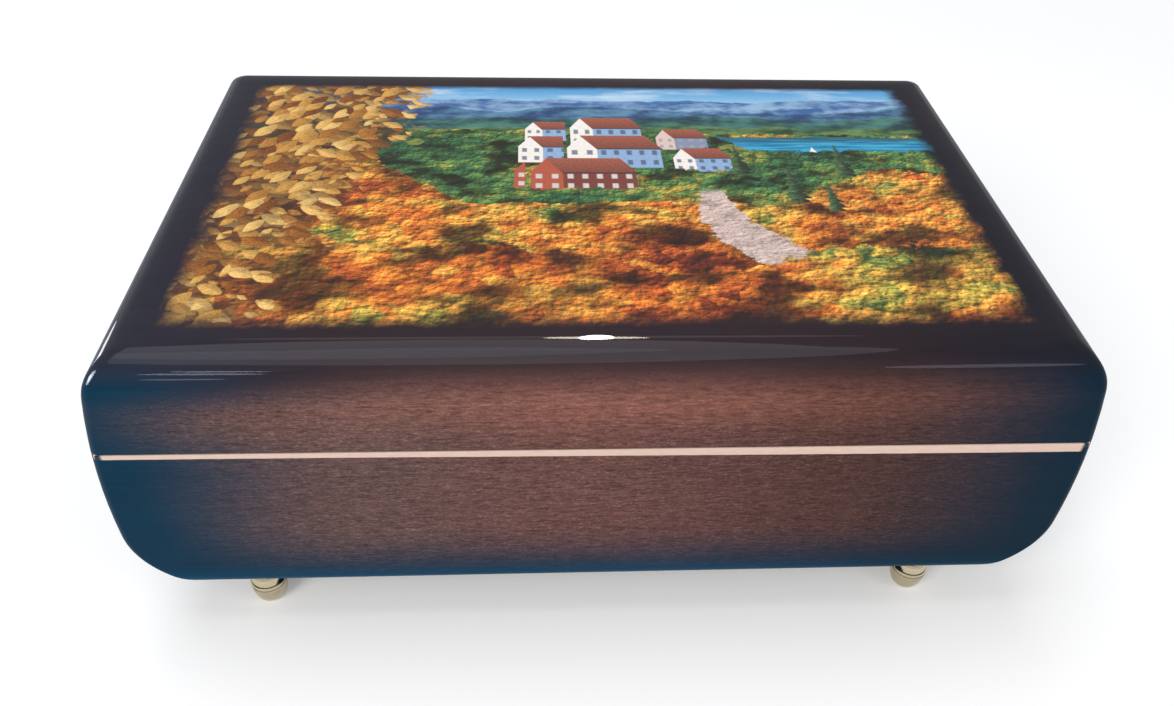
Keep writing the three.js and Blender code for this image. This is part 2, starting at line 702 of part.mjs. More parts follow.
// A soft pad: flat below, drawn in at its edges, slightly crowned above
function pad(width, depth, height, crown) {
  const steps = 6;
  const positions = [];
  const across = (share) => Math.sin(share * Math.PI / 2);
  const row = (inset, edge) => {
    for (let i = 0; i <= steps; i += 1) {
      for (let j = 0; j <= steps; j += 1) {
        const u = across(2 * i / steps - 1);
        const v = across(2 * j / steps - 1);
        const rise = edge ? 0 : height - crown + crown * (1 - u ** 4) * (1 - v ** 4);
        positions.push(u * (width / 2 - inset), v * (depth / 2 - inset), rise);
      }
    }
  };
  row(0, true);
  row(PAD_DRAW_IN, false);
  const size = steps + 1;
  const at = (layer, i, j) => layer * size * size + i * size + j;
  const faces = [];
  const quad = (a, b, c, d) => faces.push(a, b, c, a, c, d);
  for (let i = 0; i < steps; i += 1) {
    for (let j = 0; j < steps; j += 1) {
      quad(at(0, i, j), at(0, i, j + 1), at(0, i + 1, j + 1), at(0, i + 1, j));
      quad(at(1, i, j), at(1, i + 1, j), at(1, i + 1, j + 1), at(1, i, j + 1));
    }
    quad(at(0, i, 0), at(0, i + 1, 0), at(1, i + 1, 0), at(1, i, 0));
    quad(at(0, i + 1, steps), at(0, i, steps), at(1, i, steps), at(1, i + 1, steps));
    quad(at(0, 0, i + 1), at(0, 0, i), at(1, 0, i), at(1, 0, i + 1));
    quad(at(0, steps, i), at(0, steps, i + 1), at(1, steps, i + 1), at(1, steps, i));
  }
  const geometry = new THREE.BufferGeometry();
  geometry.setAttribute('position', new THREE.Float32BufferAttribute(positions, 3));
  geometry.setIndex(faces);
  return solid(geometry);
}

function trayPad() {
  const inset = LINING_THICKNESS + CUT_GAP;
  const width = tray.right - tray.left - 2 * inset;
  const depth = 2 * (tray.y - inset);
  const shape = pad(width, depth, PAD_HEIGHT, PAD_CROWN);
  return named('tray_pad', shape, velvet, [(tray.left + tray.right) / 2, 0, tray.top + SEAT_GAP]);
}

function lidPad() {
  const width = 2 * (innerX - LID_PAD_MARGIN);
  const depth = 2 * (innerY - LID_PAD_MARGIN);
  const shape = pad(width, depth, LID_PAD_THICKNESS, PAD_CROWN).rotate([180, 0, 0]);
  return named('lid_pad', shape, velvet, [0, 0, top - LID_TOP_THICKNESS - SEAT_GAP]);
}

// Hinges: the case leaf has the two outer knuckles, the lid leaf has the middle one

function hingeLeaf(name, side, onLid) {
  const middle = side * hingeMiddle;
  const half = HINGE_LENGTH / 2;
  const own = MIDDLE_KNUCKLE / 2;
  const low = onLid ? lidBottom : seam - LEAF_THICKNESS;
  const knuckle = (radius, x0, x1) =>
    rodAlongX(radius, middle + x0, middle + x1, halfDepth, hingeZ, 16);
  const leaf = block(
    [middle - half, halfDepth - LEAF_DEPTH, low],
    [middle + half, halfDepth, low + LEAF_THICKNESS],
  );
  const gap = own + CUT_GAP;
  const room = KNUCKLE_RADIUS + CUT_GAP;
  const ownSpans = onLid ? [[-own, own]] : [[-half, -gap], [gap, half]];
  const otherSpans = onLid ? [[-half - PASS, -own], [own, half + PASS]] : [[-gap, gap]];
  let shape = cut(leaf, ...otherSpans.map(([x0, x1]) => knuckle(room, x0, x1)));
  shape = join(shape, ...ownSpans.map(([x0, x1]) => knuckle(KNUCKLE_RADIUS, x0, x1)));
  shape = cut(shape, knuckle(HINGE_PIN_RADIUS + RUNNING_GAP, -half - PASS, half + PASS));
  for (const [, end] of screwSpots) {
    const [x, y] = screwXY(side, end);
    const tool = screwHole(RUNNING_GAP);
    shape = cut(shape, onLid
      ? tool.rotate([180, 0, 0]).translate([x, y, lidBottom])
      : tool.translate([x, y, seam]));
  }
  return named(name, shape, brass);
}

function hingePin(name, side) {
  const middle = side * hingeMiddle;
  const half = HINGE_LENGTH / 2;
  const shape = rodAlongX(HINGE_PIN_RADIUS, middle - half, middle + half, halfDepth, hingeZ, 12);
  return named(name, shape, brass);
}

function hingeScrew(name, side, end, onLid) {
  const [x, y] = screwXY(side, end);
  const shape = onLid ? screwBody().rotate([180, 0, 0]) : screwBody();
  return named(name, shape, brass, [x, y, onLid ? lidBottom : seam]);
}

// Movement

// A toothed outline: four points to a tooth, the first tooth centred on the start angle
function gearOutline(teeth, module, start) {
  const pitchRadius = module * teeth / 2;
  const thick = TOOTH_SHARE * Math.PI * module;
  const rootRadius = pitchRadius - DEDENDUM * module;
  const tipRadius = pitchRadius + ADDENDUM * module;
  const rootHalf = (thick / 2 + DEDENDUM * module * PRESSURE_SLOPE) / rootRadius;
  const tipHalf = (thick / 2 - ADDENDUM * module * PRESSURE_SLOPE) / tipRadius;
  const points = [];
  for (let tooth = 0; tooth < teeth; tooth += 1) {
    const middle = start + 2 * Math.PI * tooth / teeth;
    for (const [radius, angle] of [
      [rootRadius, -rootHalf], [tipRadius, -tipHalf], [tipRadius, tipHalf], [rootRadius, rootHalf],
    ]) {
      points.push([radius * Math.cos(middle + angle), radius * Math.sin(middle + angle)]);
    }
  }
  return points;
}

// Turns each point of a solid about Z by its height, for slanted teeth
function twisted(shape, perLength, middle) {
  return shape.warp((point) => {
    const angle = (point[2] - middle) * perLength;
    const [x, y] = point;
    point[0] = x * Math.cos(angle) - y * Math.sin(angle);
    point[1] = x * Math.sin(angle) + y * Math.cos(angle);
  });
}

// Three of the bedplate's corners: the barrel fills the fourth
const mountScrewSpots = [
  [MOUNT_SCREW_FROM_EDGE - BEDPLATE_LEFT, BEDPLATE_BACK - MOUNT_SCREW_FROM_EDGE],
  [BEDPLATE_RIGHT - MOUNT_SCREW_FROM_EDGE, MOUNT_SCREW_FROM_EDGE - BEDPLATE_FRONT],
  [BEDPLATE_RIGHT - MOUNT_SCREW_FROM_EDGE, BEDPLATE_BACK - MOUNT_SCREW_FROM_EDGE],
];

function bedplate() {
  const hole = (radius, x, y, sides) => rod(radius, -PASS, BEDPLATE_THICKNESS + PASS, x, y, sides);
  const front = [-BEDPLATE_LEFT, -BEDPLATE_FRONT, 0];
  const back = [BEDPLATE_RIGHT, BEDPLATE_BACK, BEDPLATE_THICKNESS];
  let shape = cut(block(front, back), hole(WINDING_ARBOR_RADIUS + RUNNING_GAP, 0, 0, 20));
  for (const [x, y] of mountScrewSpots) shape = cut(shape, hole(MOUNT_SCREW_SHANK + CUT_GAP, x, y, 12));
  return named('bedplate', shape, zinc);
}

function mountScrew(name, x, y) {
  const under = -BOARD_THICKNESS;
  const shape = turned([
    [0, under - MOUNT_SCREW_HEAD],
    [MOUNT_SCREW_HEAD_RADIUS - MOUNT_SCREW_BEVEL, under - MOUNT_SCREW_HEAD],
    [MOUNT_SCREW_HEAD_RADIUS, under - MOUNT_SCREW_HEAD + MOUNT_SCREW_BEVEL],
    [MOUNT_SCREW_HEAD_RADIUS, under],
    [MOUNT_SCREW_SHANK, under],
    [MOUNT_SCREW_SHANK, BEDPLATE_THICKNESS],
    [0, BEDPLATE_THICKNESS],
  ], 14);
  return named(name, shape, steel, [x, y, 0]);
}

function windingArbor() {
  const bottom = arborBottom - boardTop;
  return named('winding_arbor', rod(WINDING_ARBOR_RADIUS, bottom, bridgeZ + BRIDGE_THICKNESS), steel);
}

function ratchetWheel() {
  const points = [];
  for (let tooth = 0; tooth < RATCHET_TEETH; tooth += 1) {
    const angle = 2 * Math.PI * tooth / RATCHET_TEETH;
    const next = angle + 2 * Math.PI / RATCHET_TEETH * 0.97;
    const root = RATCHET_RADIUS - RATCHET_TOOTH_DEPTH;
    points.push([RATCHET_RADIUS * Math.cos(angle), RATCHET_RADIUS * Math.sin(angle)]);
    points.push([root * Math.cos(next), root * Math.sin(next)]);
  }
  const wheel = plate(points, ratchetZ, ratchetZ + RATCHET_THICKNESS);
  const hole = rod(WINDING_ARBOR_RADIUS + RUNNING_GAP, 0, barrelZ, 0, 0, 20);
  return named('ratchet_wheel', cut(wheel, hole), steel);
}

// The click lies beside the ratchet wheel, on a rivet in the bedplate
function ratchetClick() {
  const from = ([x, y], degrees, distance) => {
    const angle = THREE.MathUtils.degToRad(degrees);
    return [x + distance * Math.cos(angle), y + distance * Math.sin(angle)];
  };
  const reach = RATCHET_RADIUS + CLICK_CLEARANCE + CLICK_TIP_HALF;
  const tip = from([0, 0], CLICK_ANGLE, reach);
  const heel = from(tip, CLICK_SLANT, CLICK_LENGTH);
  const outline = [
    from(tip, CLICK_SLANT + 90, CLICK_TIP_HALF),
    from(tip, CLICK_SLANT - 90, CLICK_TIP_HALF),
    from(heel, CLICK_SLANT - 90, CLICK_HEEL_HALF),
    from(heel, CLICK_SLANT + 90, CLICK_HEEL_HALF),
  ];
  const high = ratchetZ + RATCHET_THICKNESS;
  const rivet = rod(CLICK_RIVET_RADIUS, BEDPLATE_THICKNESS, high, heel[0], heel[1], 14);
  return named('ratchet_click', join(plate(outline.reverse(), ratchetZ, high), rivet), steel);
}

function springBarrel() {
  const drum = turned([
    [WINDING_ARBOR_RADIUS + RUNNING_GAP, barrelTopZ - BARREL_TOP],
    [BARREL_RADIUS - BARREL_WALL, barrelTopZ - BARREL_TOP],
    [BARREL_RADIUS - BARREL_WALL, barrelZ],
    [BARREL_RADIUS, barrelZ],
    [BARREL_RADIUS, barrelTopZ],
    [WINDING_ARBOR_RADIUS + RUNNING_GAP, barrelTopZ],
    [WINDING_ARBOR_RADIUS + RUNNING_GAP, barrelTopZ - BARREL_TOP],
  ], 36);
  const pitch = Math.PI * crownModule;
  const low = TOOTH_SHARE * pitch / 2 + crownPitchZ * PRESSURE_SLOPE - barrelTopZ * PRESSURE_SLOPE;
  const high = low - CROWN_TOOTH_HEIGHT * PRESSURE_SLOPE;
  const tip = barrelTopZ + CROWN_TOOTH_HEIGHT;
  const sunk = barrelTopZ - BARREL_TOP / 2;
  const section = [
    [-low, sunk], [low, sunk], [low, barrelTopZ], [high, tip], [-high, tip], [-low, barrelTopZ],
  ];
  const tooth = plateAlongY(section, CROWN_RADIUS - CROWN_BAND / 2, CROWN_RADIUS + CROWN_BAND / 2);
  const teeth = [];
  for (let i = 0; i < CROWN_TEETH; i += 1) teeth.push(tooth.rotate([0, 0, 360 * i / CROWN_TEETH]));
  return named('spring_barrel', join(drum, ...teeth), brass);
}

function barrelCover() {
  const radius = BARREL_RADIUS - BARREL_WALL - RUNNING_GAP;
  const disc = rod(radius, barrelZ, barrelZ + BARREL_COVER, 0, 0, 32);
  const hole = rod(WINDING_ARBOR_RADIUS + RUNNING_GAP, 0, barrelTopZ, 0, 0, 20);
  return named('barrel_cover', cut(disc, hole), brass);
}

// The mainspring: one flat spiral strip, from the arbor out to the wall of the barrel
function mainspring() {
  const inner = WINDING_ARBOR_RADIUS + CUT_GAP + SPRING_STRIP / 2;
  const outer = BARREL_RADIUS - BARREL_WALL - CUT_GAP - SPRING_STRIP / 2;
  const steps = SPRING_TURNS * 14;
  const edge = (side) => Array.from({ length: steps + 1 }, (_, i) => {
    const share = i / steps;
    const angle = 2 * Math.PI * SPRING_TURNS * share;
    const radius = inner + (outer - inner) * share + side * SPRING_STRIP / 2;
    return [radius * Math.cos(angle), radius * Math.sin(angle)];
  });
  const outline = [...edge(1), ...edge(-1).reverse()];
  const low = barrelZ + BARREL_COVER + SEAT_GAP;
  return named('mainspring', plate(outline, low, barrelTopZ - BARREL_TOP - SEAT_GAP), steel);
}

// Bridge over the barrel: a plate on two legs, with a tongue that carries the winding arbor
function barrelBridge() {
  const inside = BARREL_RADIUS + BRIDGE_SIDE_GAP;
  const outside = inside + BRIDGE_LEG;
  const high = bridgeZ + BRIDGE_HEIGHT;
  const bar = [
    [-outside, BEDPLATE_THICKNESS], [-inside, BEDPLATE_THICKNESS], [-inside, bridgeZ],
    [inside, bridgeZ], [inside, BEDPLATE_THICKNESS], [outside, BEDPLATE_THICKNESS],
    [outside, high - BRIDGE_CHAMFER], [outside - BRIDGE_CHAMFER, high],
    [BRIDGE_CHAMFER - outside, high], [-outside, high - BRIDGE_CHAMFER],
  ];
  const y0 = BRIDGE_FROM_AXIS;
  const y1 = y0 + BRIDGE_THICKNESS;
  const tongueHigh = bridgeZ + BRIDGE_THICKNESS;
  const tongue = block([-TONGUE_HALF, -TONGUE_HALF, bridgeZ], [TONGUE_HALF, y1, tongueHigh]);
  const lug = block([-TONGUE_HALF, y0, barrelTopZ + STACK_GAP], [TONGUE_HALF, y1, tongueHigh]);
  const shape = cut(
    join(plateAlongY(bar, y0, y1), tongue, lug),
    rod(WINDING_ARBOR_RADIUS + RUNNING_GAP, barrelTopZ, high, 0, 0, 20),
    rodAlongY(CYLINDER_ARBOR_RADIUS + RUNNING_GAP, y0 - PASS, y1 + PASS, 0, axisZ, 14),
  );
  return named('barrel_bridge', shape, zinc);
}

function rearBracket() {
  const corner = [-REAR_BRACKET_LEFT, frameFront, BEDPLATE_THICKNESS];
  const right = CYLINDER_ARBOR_RADIUS + FRAME_PLATE;
  const back = frameFront + BRIDGE_THICKNESS;
  const upright = block(corner, [right, back, axisZ + FRAME_OVER_AXIS]);
  const heel = block(corner, [right, frameBack + FRAME_PLATE, BEDPLATE_THICKNESS + FRAME_FOOT]);
  const room = CYLINDER_ARBOR_RADIUS + RUNNING_GAP;
  const hole = rodAlongY(room, frameFront - PASS, back + PASS, 0, axisZ, 14);
  return named('rear_bracket', cut(upright.add(heel), hole), zinc);
}

// Governor frame: a foot, two cheeks for the worm wheel's arbor, a post and an arm over the fan
function governorFrame() {
  const back = frameBack + FRAME_PLATE;
  const low = BEDPLATE_THICKNESS;
  const left = governorX - CHEEK_HALF;
  const right = governorX + CHEEK_HALF;
  const postLeft = wormX + FAN_RADIUS + FAN_SIDE_GAP;
  const postRight = postLeft + BRIDGE_THICKNESS;
  const cheekTop = governorZ + FRAME_OVER_AXIS;
  const shape = join(
    block([left, frameFront, low], [postRight, back, low + FRAME_FOOT]),
    block([left, frameFront, low], [right, frameFront + FRAME_PLATE, cheekTop]),
    block([left, frameBack, low], [right, back, cheekTop]),
    block([postLeft, frameFront, low], [postRight, back, armTop]),
    block([wormX - ARM_HALF, wormY - ARM_HALF, armBottom], [postRight, wormY + ARM_HALF, armTop]),
  );
  const arborRoom = GOVERNOR_ARBOR_RADIUS + RUNNING_GAP;
  const shaftRoom = FAN_SHAFT_RADIUS + RUNNING_GAP;
  return named('governor_frame', cut(
    shape,
    rodAlongY(arborRoom, frameFront - PASS, back + PASS, governorX, governorZ, 12),
    rod(shaftRoom, low + PIVOT_SINK, armTop + PASS, wormX, wormY, 12),
  ), zinc);
}

function comb() {
  const points = [[combRight, combBack], [combRootX, combBack]];
  const screwRoom = COMB_SCREW_SHANK + CUT_GAP;
  for (let note = NOTES - 1; note >= 0; note -= 1) {
    const low = combFront + note * NOTE_PITCH + COMB_SLOT / 2;
    const high = combFront + (note + 1) * NOTE_PITCH - COMB_SLOT / 2;
    points.push([combRootX, high], [combLeft, high], [combLeft, low], [combRootX, low]);
  }
  points.push([combRootX, combFront], [combRight, combFront]);
  const high = combBottom + COMB_THICKNESS;
  let shape = plate(points, combBottom, high);
  for (const y of combScrewYs) {
    shape = cut(shape, rod(screwRoom, combBottom - PASS, high + PASS, combScrewX, y, 12));
  }
  return named('comb', shape, steel);
}

const combScrewX = combRootX + COMB_BACK / 2;
const combScrewYs = [combFront + COMB_SCREW_FROM_END, combBack - COMB_SCREW_FROM_END];

function combBase() {
  let shape = block([combRootX, combFront, BEDPLATE_THICKNESS], [combRight, combBack, combBottom]);
  for (const y of combScrewYs) {
    const bottom = combBottom + COMB_THICKNESS - COMB_SCREW_LENGTH - CUT_GAP;
    const room = rod(COMB_SCREW_SHANK + CUT_GAP, bottom, combBottom + PASS, combScrewX, y, 12);
    shape = cut(shape, room);
  }
  return named('comb_base', shape, zinc);
}

function combScrew(name, y) {
  const seat = combBottom + COMB_THICKNESS;
  const shape = turned([
    [0, seat - COMB_SCREW_LENGTH],
    [COMB_SCREW_SHANK, seat - COMB_SCREW_LENGTH],
    [COMB_SCREW_SHANK, seat],
    [COMB_SCREW_RADIUS, seat],
    [COMB_SCREW_RADIUS, seat + COMB_SCREW_HEAD - COMB_SCREW_DOME],
    [COMB_SCREW_RADIUS - COMB_SCREW_DOME, seat + COMB_SCREW_HEAD],
    [0, seat + COMB_SCREW_HEAD],
  ], 14);
  return named(name, shape, steel, [combScrewX, y, 0]);
}

// Pieces on the cylinder's axis: built along Z, then laid along Y
function cylinderGroup() {
  const group = new THREE.Group();
  group.position.set(0, 0, axisZ);
  group.rotation.x = -Math.PI / 2;
  const arborBack = frameFront + BRIDGE_THICKNESS;
  const arbor = rod(CYLINDER_ARBOR_RADIUS, BRIDGE_FROM_AXIS, arborBack, 0, 0, 12);
  group.add(named('cylinder_arbor', arbor, steel));
  const arborRoom = rod(CYLINDER_ARBOR_RADIUS + RUNNING_GAP, 0, arborBack + PASS, 0, 0, 14);

  const driveFront = CROWN_RADIUS - DRIVE_WIDTH / 2;
  const gapDown = Math.PI / 2 + Math.PI / DRIVE_TEETH;
  const driveOutline = gearOutline(DRIVE_TEETH, crownModule, gapDown);
  const pinion = plate(driveOutline, driveFront, driveFront + DRIVE_WIDTH);
  group.add(named('drive_pinion', cut(pinion, arborRoom), steel));

  const gapAside = drop + Math.PI / GREAT_TEETH;
  const great = plate(gearOutline(GREAT_TEETH, TRAIN_MODULE, gapAside), greatFront, greatBack);
  group.add(named('great_wheel', cut(great, arborRoom), brass));

  const pins = [];
  for (let note = 0; note < NOTES; note += 1) {
    for (let beat = 0; beat < PINS_PER_NOTE; beat += 1) {
      const turn = note * TUNE_STEP + beat / PINS_PER_NOTE + TUNE_DRIFT * beat * note;
      const along = combFront + (note + 0.5) * NOTE_PITCH;
      const half = PIN_SIZE / 2;
      const pin = block(
        [CYLINDER_RADIUS - PIN_ROOT, -half, along - half],
        [CYLINDER_RADIUS + PIN_HEIGHT, half, along + half],
      );
      pins.push(pin.rotate([0, 0, 360 * (turn % 1)]));
    }
  }
  const drum = cut(rod(CYLINDER_RADIUS, cylinderFront, cylinderBack, 0, 0, 32), arborRoom);
  group.add(named('pin_cylinder', join(drum, ...pins), brass));
  return group;
}

// Governor arbor: pinion and slanted worm wheel in one turned piece
function governorGroup() {
  const group = new THREE.Group();
  group.position.set(governorX, 0, governorZ);
  group.rotation.x = -Math.PI / 2;
  const front = greatFront - SEAT_GAP;
  const pinionOutline = gearOutline(GOVERNOR_TEETH, TRAIN_MODULE, drop + Math.PI);
  const pinion = plate(pinionOutline, front, greatBack + SEAT_GAP);
  const wheelOutline = gearOutline(WORM_WHEEL_TEETH, TRAIN_MODULE, Math.PI / WORM_WHEEL_TEETH);
  const flatWheel = plate(wheelOutline, wormWheelFront, wormWheelFront + WORM_WHEEL_WIDTH);
  const slope = WORM_STARTS / (WORM_WHEEL_TEETH * WORM_RADIUS);
  const wheel = twisted(flatWheel, slope, wormY);
  const arbor = rod(GOVERNOR_ARBOR_RADIUS, front, frameBack + FRAME_PLATE, 0, 0, 12);
  group.add(named('governor_wheel', join(arbor, pinion, wheel), brass));
  return group;
}

// A screw thread about Z: a four sided section carried up a right hand helix
function thread(lead, from, to, startAngle, atHeight) {
  const perTurn = 10;
  const steps = Math.round((to - from) / lead * perTurn);
  const thick = WORM_TOOTH_SHARE * Math.PI * TRAIN_MODULE;
  const inner = FAN_SHAFT_RADIUS - WORM_ROOT_SINK;
  const outer = WORM_RADIUS + WORM_ADDENDUM * TRAIN_MODULE;
  const innerHalf = thick / 2 + (WORM_RADIUS - inner) * WORM_SLOPE;
  const outerHalf = thick / 2 - (outer - WORM_RADIUS) * WORM_SLOPE;
  const positions = [];
  for (let i = 0; i <= steps; i += 1) {
    const height = from + (to - from) * i / steps;
    const angle = startAngle + 2 * Math.PI * (height - atHeight) / lead;
    for (const [radius, rise] of [
      [inner, -innerHalf], [outer, -outerHalf], [outer, outerHalf], [inner, innerHalf],
    ]) {
      positions.push(radius * Math.cos(angle), radius * Math.sin(angle), height + rise);
    }
  }
  const faces = [];
  for (let i = 0; i < steps; i += 1) {
    for (let side = 0; side < 4; side += 1) {
      const a = i * 4 + side;
      const b = i * 4 + (side + 1) % 4;
      faces.push(a, a + 4, b + 4, a, b + 4, b);
    }
  }
  const last = steps * 4;
  faces.push(0, 1, 2, 0, 2, 3, last, last + 2, last + 1, last, last + 3, last + 2);
  const geometry = new THREE.BufferGeometry();
  geometry.setAttribute('position', new THREE.Float32BufferAttribute(positions, 3));
  geometry.setIndex(faces);
  return solid(geometry);
}

// Fan shaft: worm below, air brake above, standing on its own axis
function fanGroup() {
  const group = new THREE.Group();
  group.position.set(wormX, wormY, 0);
  const lead = Math.PI * TRAIN_MODULE * WORM_STARTS;
  const from = governorZ - WORM_LENGTH / 2;
  const to = governorZ + WORM_LENGTH / 2;
  const bottom = BEDPLATE_THICKNESS + PIVOT_SINK + PIVOT_END_GAP;
  const shaft = rod(FAN_SHAFT_RADIUS, bottom, armTop - PIVOT_END_GAP, 0, 0, 10);
  const threads = Array.from({ length: WORM_STARTS }, (_, i) =>
    thread(lead, from, to, Math.PI + 2 * Math.PI * i / WORM_STARTS, governorZ));
  group.add(named('worm_shaft', join(shaft, ...threads), steel));

  const room = rod(FAN_SHAFT_RADIUS + RUNNING_GAP, fanBottom - PASS, fanTop + PASS, 0, 0, 10);
  const half = FAN_BLADE / 2;
  const blades = block([-FAN_RADIUS, -half, fanBottom], [FAN_RADIUS, half, fanTop]);
  const hub = rod(FAN_HUB_RADIUS, fanBottom, fanTop, 0, 0, 12);
  group.add(named('air_brake', cut(blades.add(hub), room), dullSteel));
  return group;
}

// The key: two lobes and a collar, threaded on the lower end of the winding arbor
const keyTop = underside - KEY_BELOW_BOARD;
const arborBottom = keyTop - ARBOR_IN_KEY;

function windingKey() {
  const low = KEY_OVER_TABLE;
  const collarBottom = keyTop - KEY_COLLAR_HEIGHT;
  const half = KEY_THICKNESS / 2;
  const lobeX = KEY_WIDTH / 2 - KEY_LOBE_RADIUS;
  const lobeZ = low + KEY_LOBE_RADIUS;
  const lobes = [-1, 1].map((side) =>
    rodAlongY(KEY_LOBE_RADIUS, -half, half, side * lobeX, lobeZ, 24));
  const web = block([-lobeX, -half, lobeZ - KEY_WEB_HALF], [lobeX, half, lobeZ + KEY_WEB_HALF]);
  const stemTop = collarBottom + KEY_STEM_SINK;
  const stem = block([-KEY_STEM_HALF, -half, lobeZ], [KEY_STEM_HALF, half, stemTop]);
  const collar = rod(KEY_COLLAR_RADIUS, collarBottom, keyTop, 0, 0, 24);
  const bore = rod(WINDING_ARBOR_RADIUS + RUNNING_GAP, arborBottom - CUT_GAP, keyTop + PASS, 0, 0, 20);
  const eyes = [-1, 1].map((side) =>
    rodAlongY(KEY_EYE_RADIUS, -half - PASS, half + PASS, side * lobeX, lobeZ, 16));
  const shape = cut(join(collar, web, stem, ...lobes), bore, ...eyes);
  return named('winding_key', shape, brass, [movementX, MOVEMENT_Y, 0]);
}

// The stop rod: a wire up the groove in the back wall, bent forward to the fan at its lower end
function stopRod() {
  const tipY = MOVEMENT_Y + wormY + FAN_RADIUS + ROD_FAN_GAP;
  const path = new THREE.CurvePath();
  const at = (y, z) => new THREE.Vector3(rodX, y, z);
  const bendY = rodY - ROD_BEND;
  const bendZ = fingerZ + ROD_BEND;
  path.add(new THREE.LineCurve3(at(tipY, fingerZ), at(bendY, fingerZ)));
  path.add(new THREE.QuadraticBezierCurve3(at(bendY, fingerZ), at(rodY, fingerZ), at(rodY, bendZ)));
  path.add(new THREE.LineCurve3(at(rodY, bendZ), at(rodY, seam - ROD_UNDER_LID)));
  const section = new THREE.Shape(Array.from({ length: 8 }, (_, i) => new THREE.Vector2(
    ROD_RADIUS * Math.cos(i * Math.PI / 4), ROD_RADIUS * Math.sin(i * Math.PI / 4),
  )));
  const geometry = new THREE.ExtrudeGeometry(section, { steps: 24, extrudePath: path });
  return named('stop_rod', solid(geometry), steel);
}

// The whole box

function movement() {
  const group = new THREE.Group();
  group.position.set(movementX, MOVEMENT_Y, boardTop);
  group.add(bedplate(), barrelBridge(), rearBracket(), governorFrame());
  group.add(combBase(), comb(), ratchetClick());
  combScrewYs.forEach((y, i) => group.add(combScrew(`comb_screw_${i + 1}`, y)));
  mountScrewSpots.forEach(([x, y], i) => group.add(mountScrew(`mounting_screw_${i + 1}`, x, y)));
  group.add(windingArbor(), ratchetWheel(), springBarrel(), barrelCover(), mainspring());
  group.add(cylinderGroup(), governorGroup(), fanGroup());
  return group;
}

function caseGroup() {
  const group = new THREE.Group();
  group.add(baseBody(), rimBanding(), bottomBoard(), partitionWall(), glassCover());
  group.add(glassLedge('glass_ledge_front', -1), glassLedge('glass_ledge_rear', 1));
  group.add(trayFloor(), trayLining(), trayPad());
  for (const [end, sy] of [['front', -1], ['rear', 1]]) {
    for (const [side, sx] of hingeSides) group.add(foot(`foot_${end}_${side}`, sx * footX, sy * footY));
  }
  for (const [name, side] of hingeSides) {
    group.add(hingeLeaf(`case_hinge_leaf_${name}`, side, false), hingePin(`hinge_pin_${name}`, side));
    for (const [letter, end] of screwSpots) {
      group.add(hingeScrew(`case_hinge_screw_${name}_${letter}`, side, end, false));
    }
  }
  return group;
}

function lidGroup() {
  const group = new THREE.Group();
  group.add(lidShell(), lidPicture(), lidPad());
  for (const [name, side] of hingeSides) {
    group.add(hingeLeaf(`lid_hinge_leaf_${name}`, side, true));
    for (const [letter, end] of screwSpots) {
      group.add(hingeScrew(`lid_hinge_screw_${name}_${letter}`, side, end, true));
    }
  }
  return group;
}

const musicBox = new THREE.Group();
musicBox.add(caseGroup(), lidGroup(), movement(), windingKey(), stopRod());

export default musicBox;
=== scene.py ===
# Looks of a keepsake music box: lacquered wooden case with bowed ends, hinged lid with a printed
# landscape, four brass feet, a velvet lined tray and a cylinder movement under a clear cover.
# Metres. X runs along the front, Y runs from the front to the back, Z is up from the table.

import json
import math
import random

import bmesh
import bpy
from bpy.props import FloatProperty, FloatVectorProperty, IntProperty, PointerProperty
from mathutils import Matrix, Vector

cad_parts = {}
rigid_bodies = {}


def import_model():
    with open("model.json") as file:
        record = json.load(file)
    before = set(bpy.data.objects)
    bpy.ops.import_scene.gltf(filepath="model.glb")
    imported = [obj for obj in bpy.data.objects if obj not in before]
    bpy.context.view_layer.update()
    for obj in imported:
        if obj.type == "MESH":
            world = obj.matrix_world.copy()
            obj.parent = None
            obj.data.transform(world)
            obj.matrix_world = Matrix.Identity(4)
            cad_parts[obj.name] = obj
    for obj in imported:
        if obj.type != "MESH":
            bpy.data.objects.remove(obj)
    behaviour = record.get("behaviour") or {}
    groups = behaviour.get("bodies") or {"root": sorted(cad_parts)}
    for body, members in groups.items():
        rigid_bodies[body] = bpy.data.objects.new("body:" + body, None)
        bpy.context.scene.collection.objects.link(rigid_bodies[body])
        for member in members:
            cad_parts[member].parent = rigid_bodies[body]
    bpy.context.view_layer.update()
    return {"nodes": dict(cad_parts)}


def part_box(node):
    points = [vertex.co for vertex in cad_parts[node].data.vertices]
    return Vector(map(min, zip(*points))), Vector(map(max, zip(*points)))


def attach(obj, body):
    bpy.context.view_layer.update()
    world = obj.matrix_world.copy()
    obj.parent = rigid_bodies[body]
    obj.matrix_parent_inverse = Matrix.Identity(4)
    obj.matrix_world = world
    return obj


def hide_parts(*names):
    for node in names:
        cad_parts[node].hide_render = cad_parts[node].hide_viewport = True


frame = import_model()

bl_info = {
    "name": "Keepsake Music Box",
    "version": (1, 0, 0),
    "blender": (4, 5, 0),
    "location": "View3D > Sidebar > Music Box",
    "description": "Builds the finish of a lacquered music box around its fixed parts",
    "category": "Object",
}

MM = 0.001

# Places that the fixed parts give
base_low, base_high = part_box("base_body")
band_low, band_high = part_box("rim_banding")
lid_low, lid_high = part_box("lid_shell")
picture_low, picture_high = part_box("lid_picture")
board_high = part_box("bottom_board")[1]

UNDERSIDE = base_low.z
SEAM = band_high.z
TOP = lid_high.z
HALF_DEPTH = base_high.y
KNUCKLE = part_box("case_hinge_leaf_left")[1].y - HALF_DEPTH
HINGE_Z = (SEAM + lid_low.z) / 2


def length(name, millimetres, description):
    return FloatProperty(
        name=name, description=description, default=millimetres * MM, unit="LENGTH")


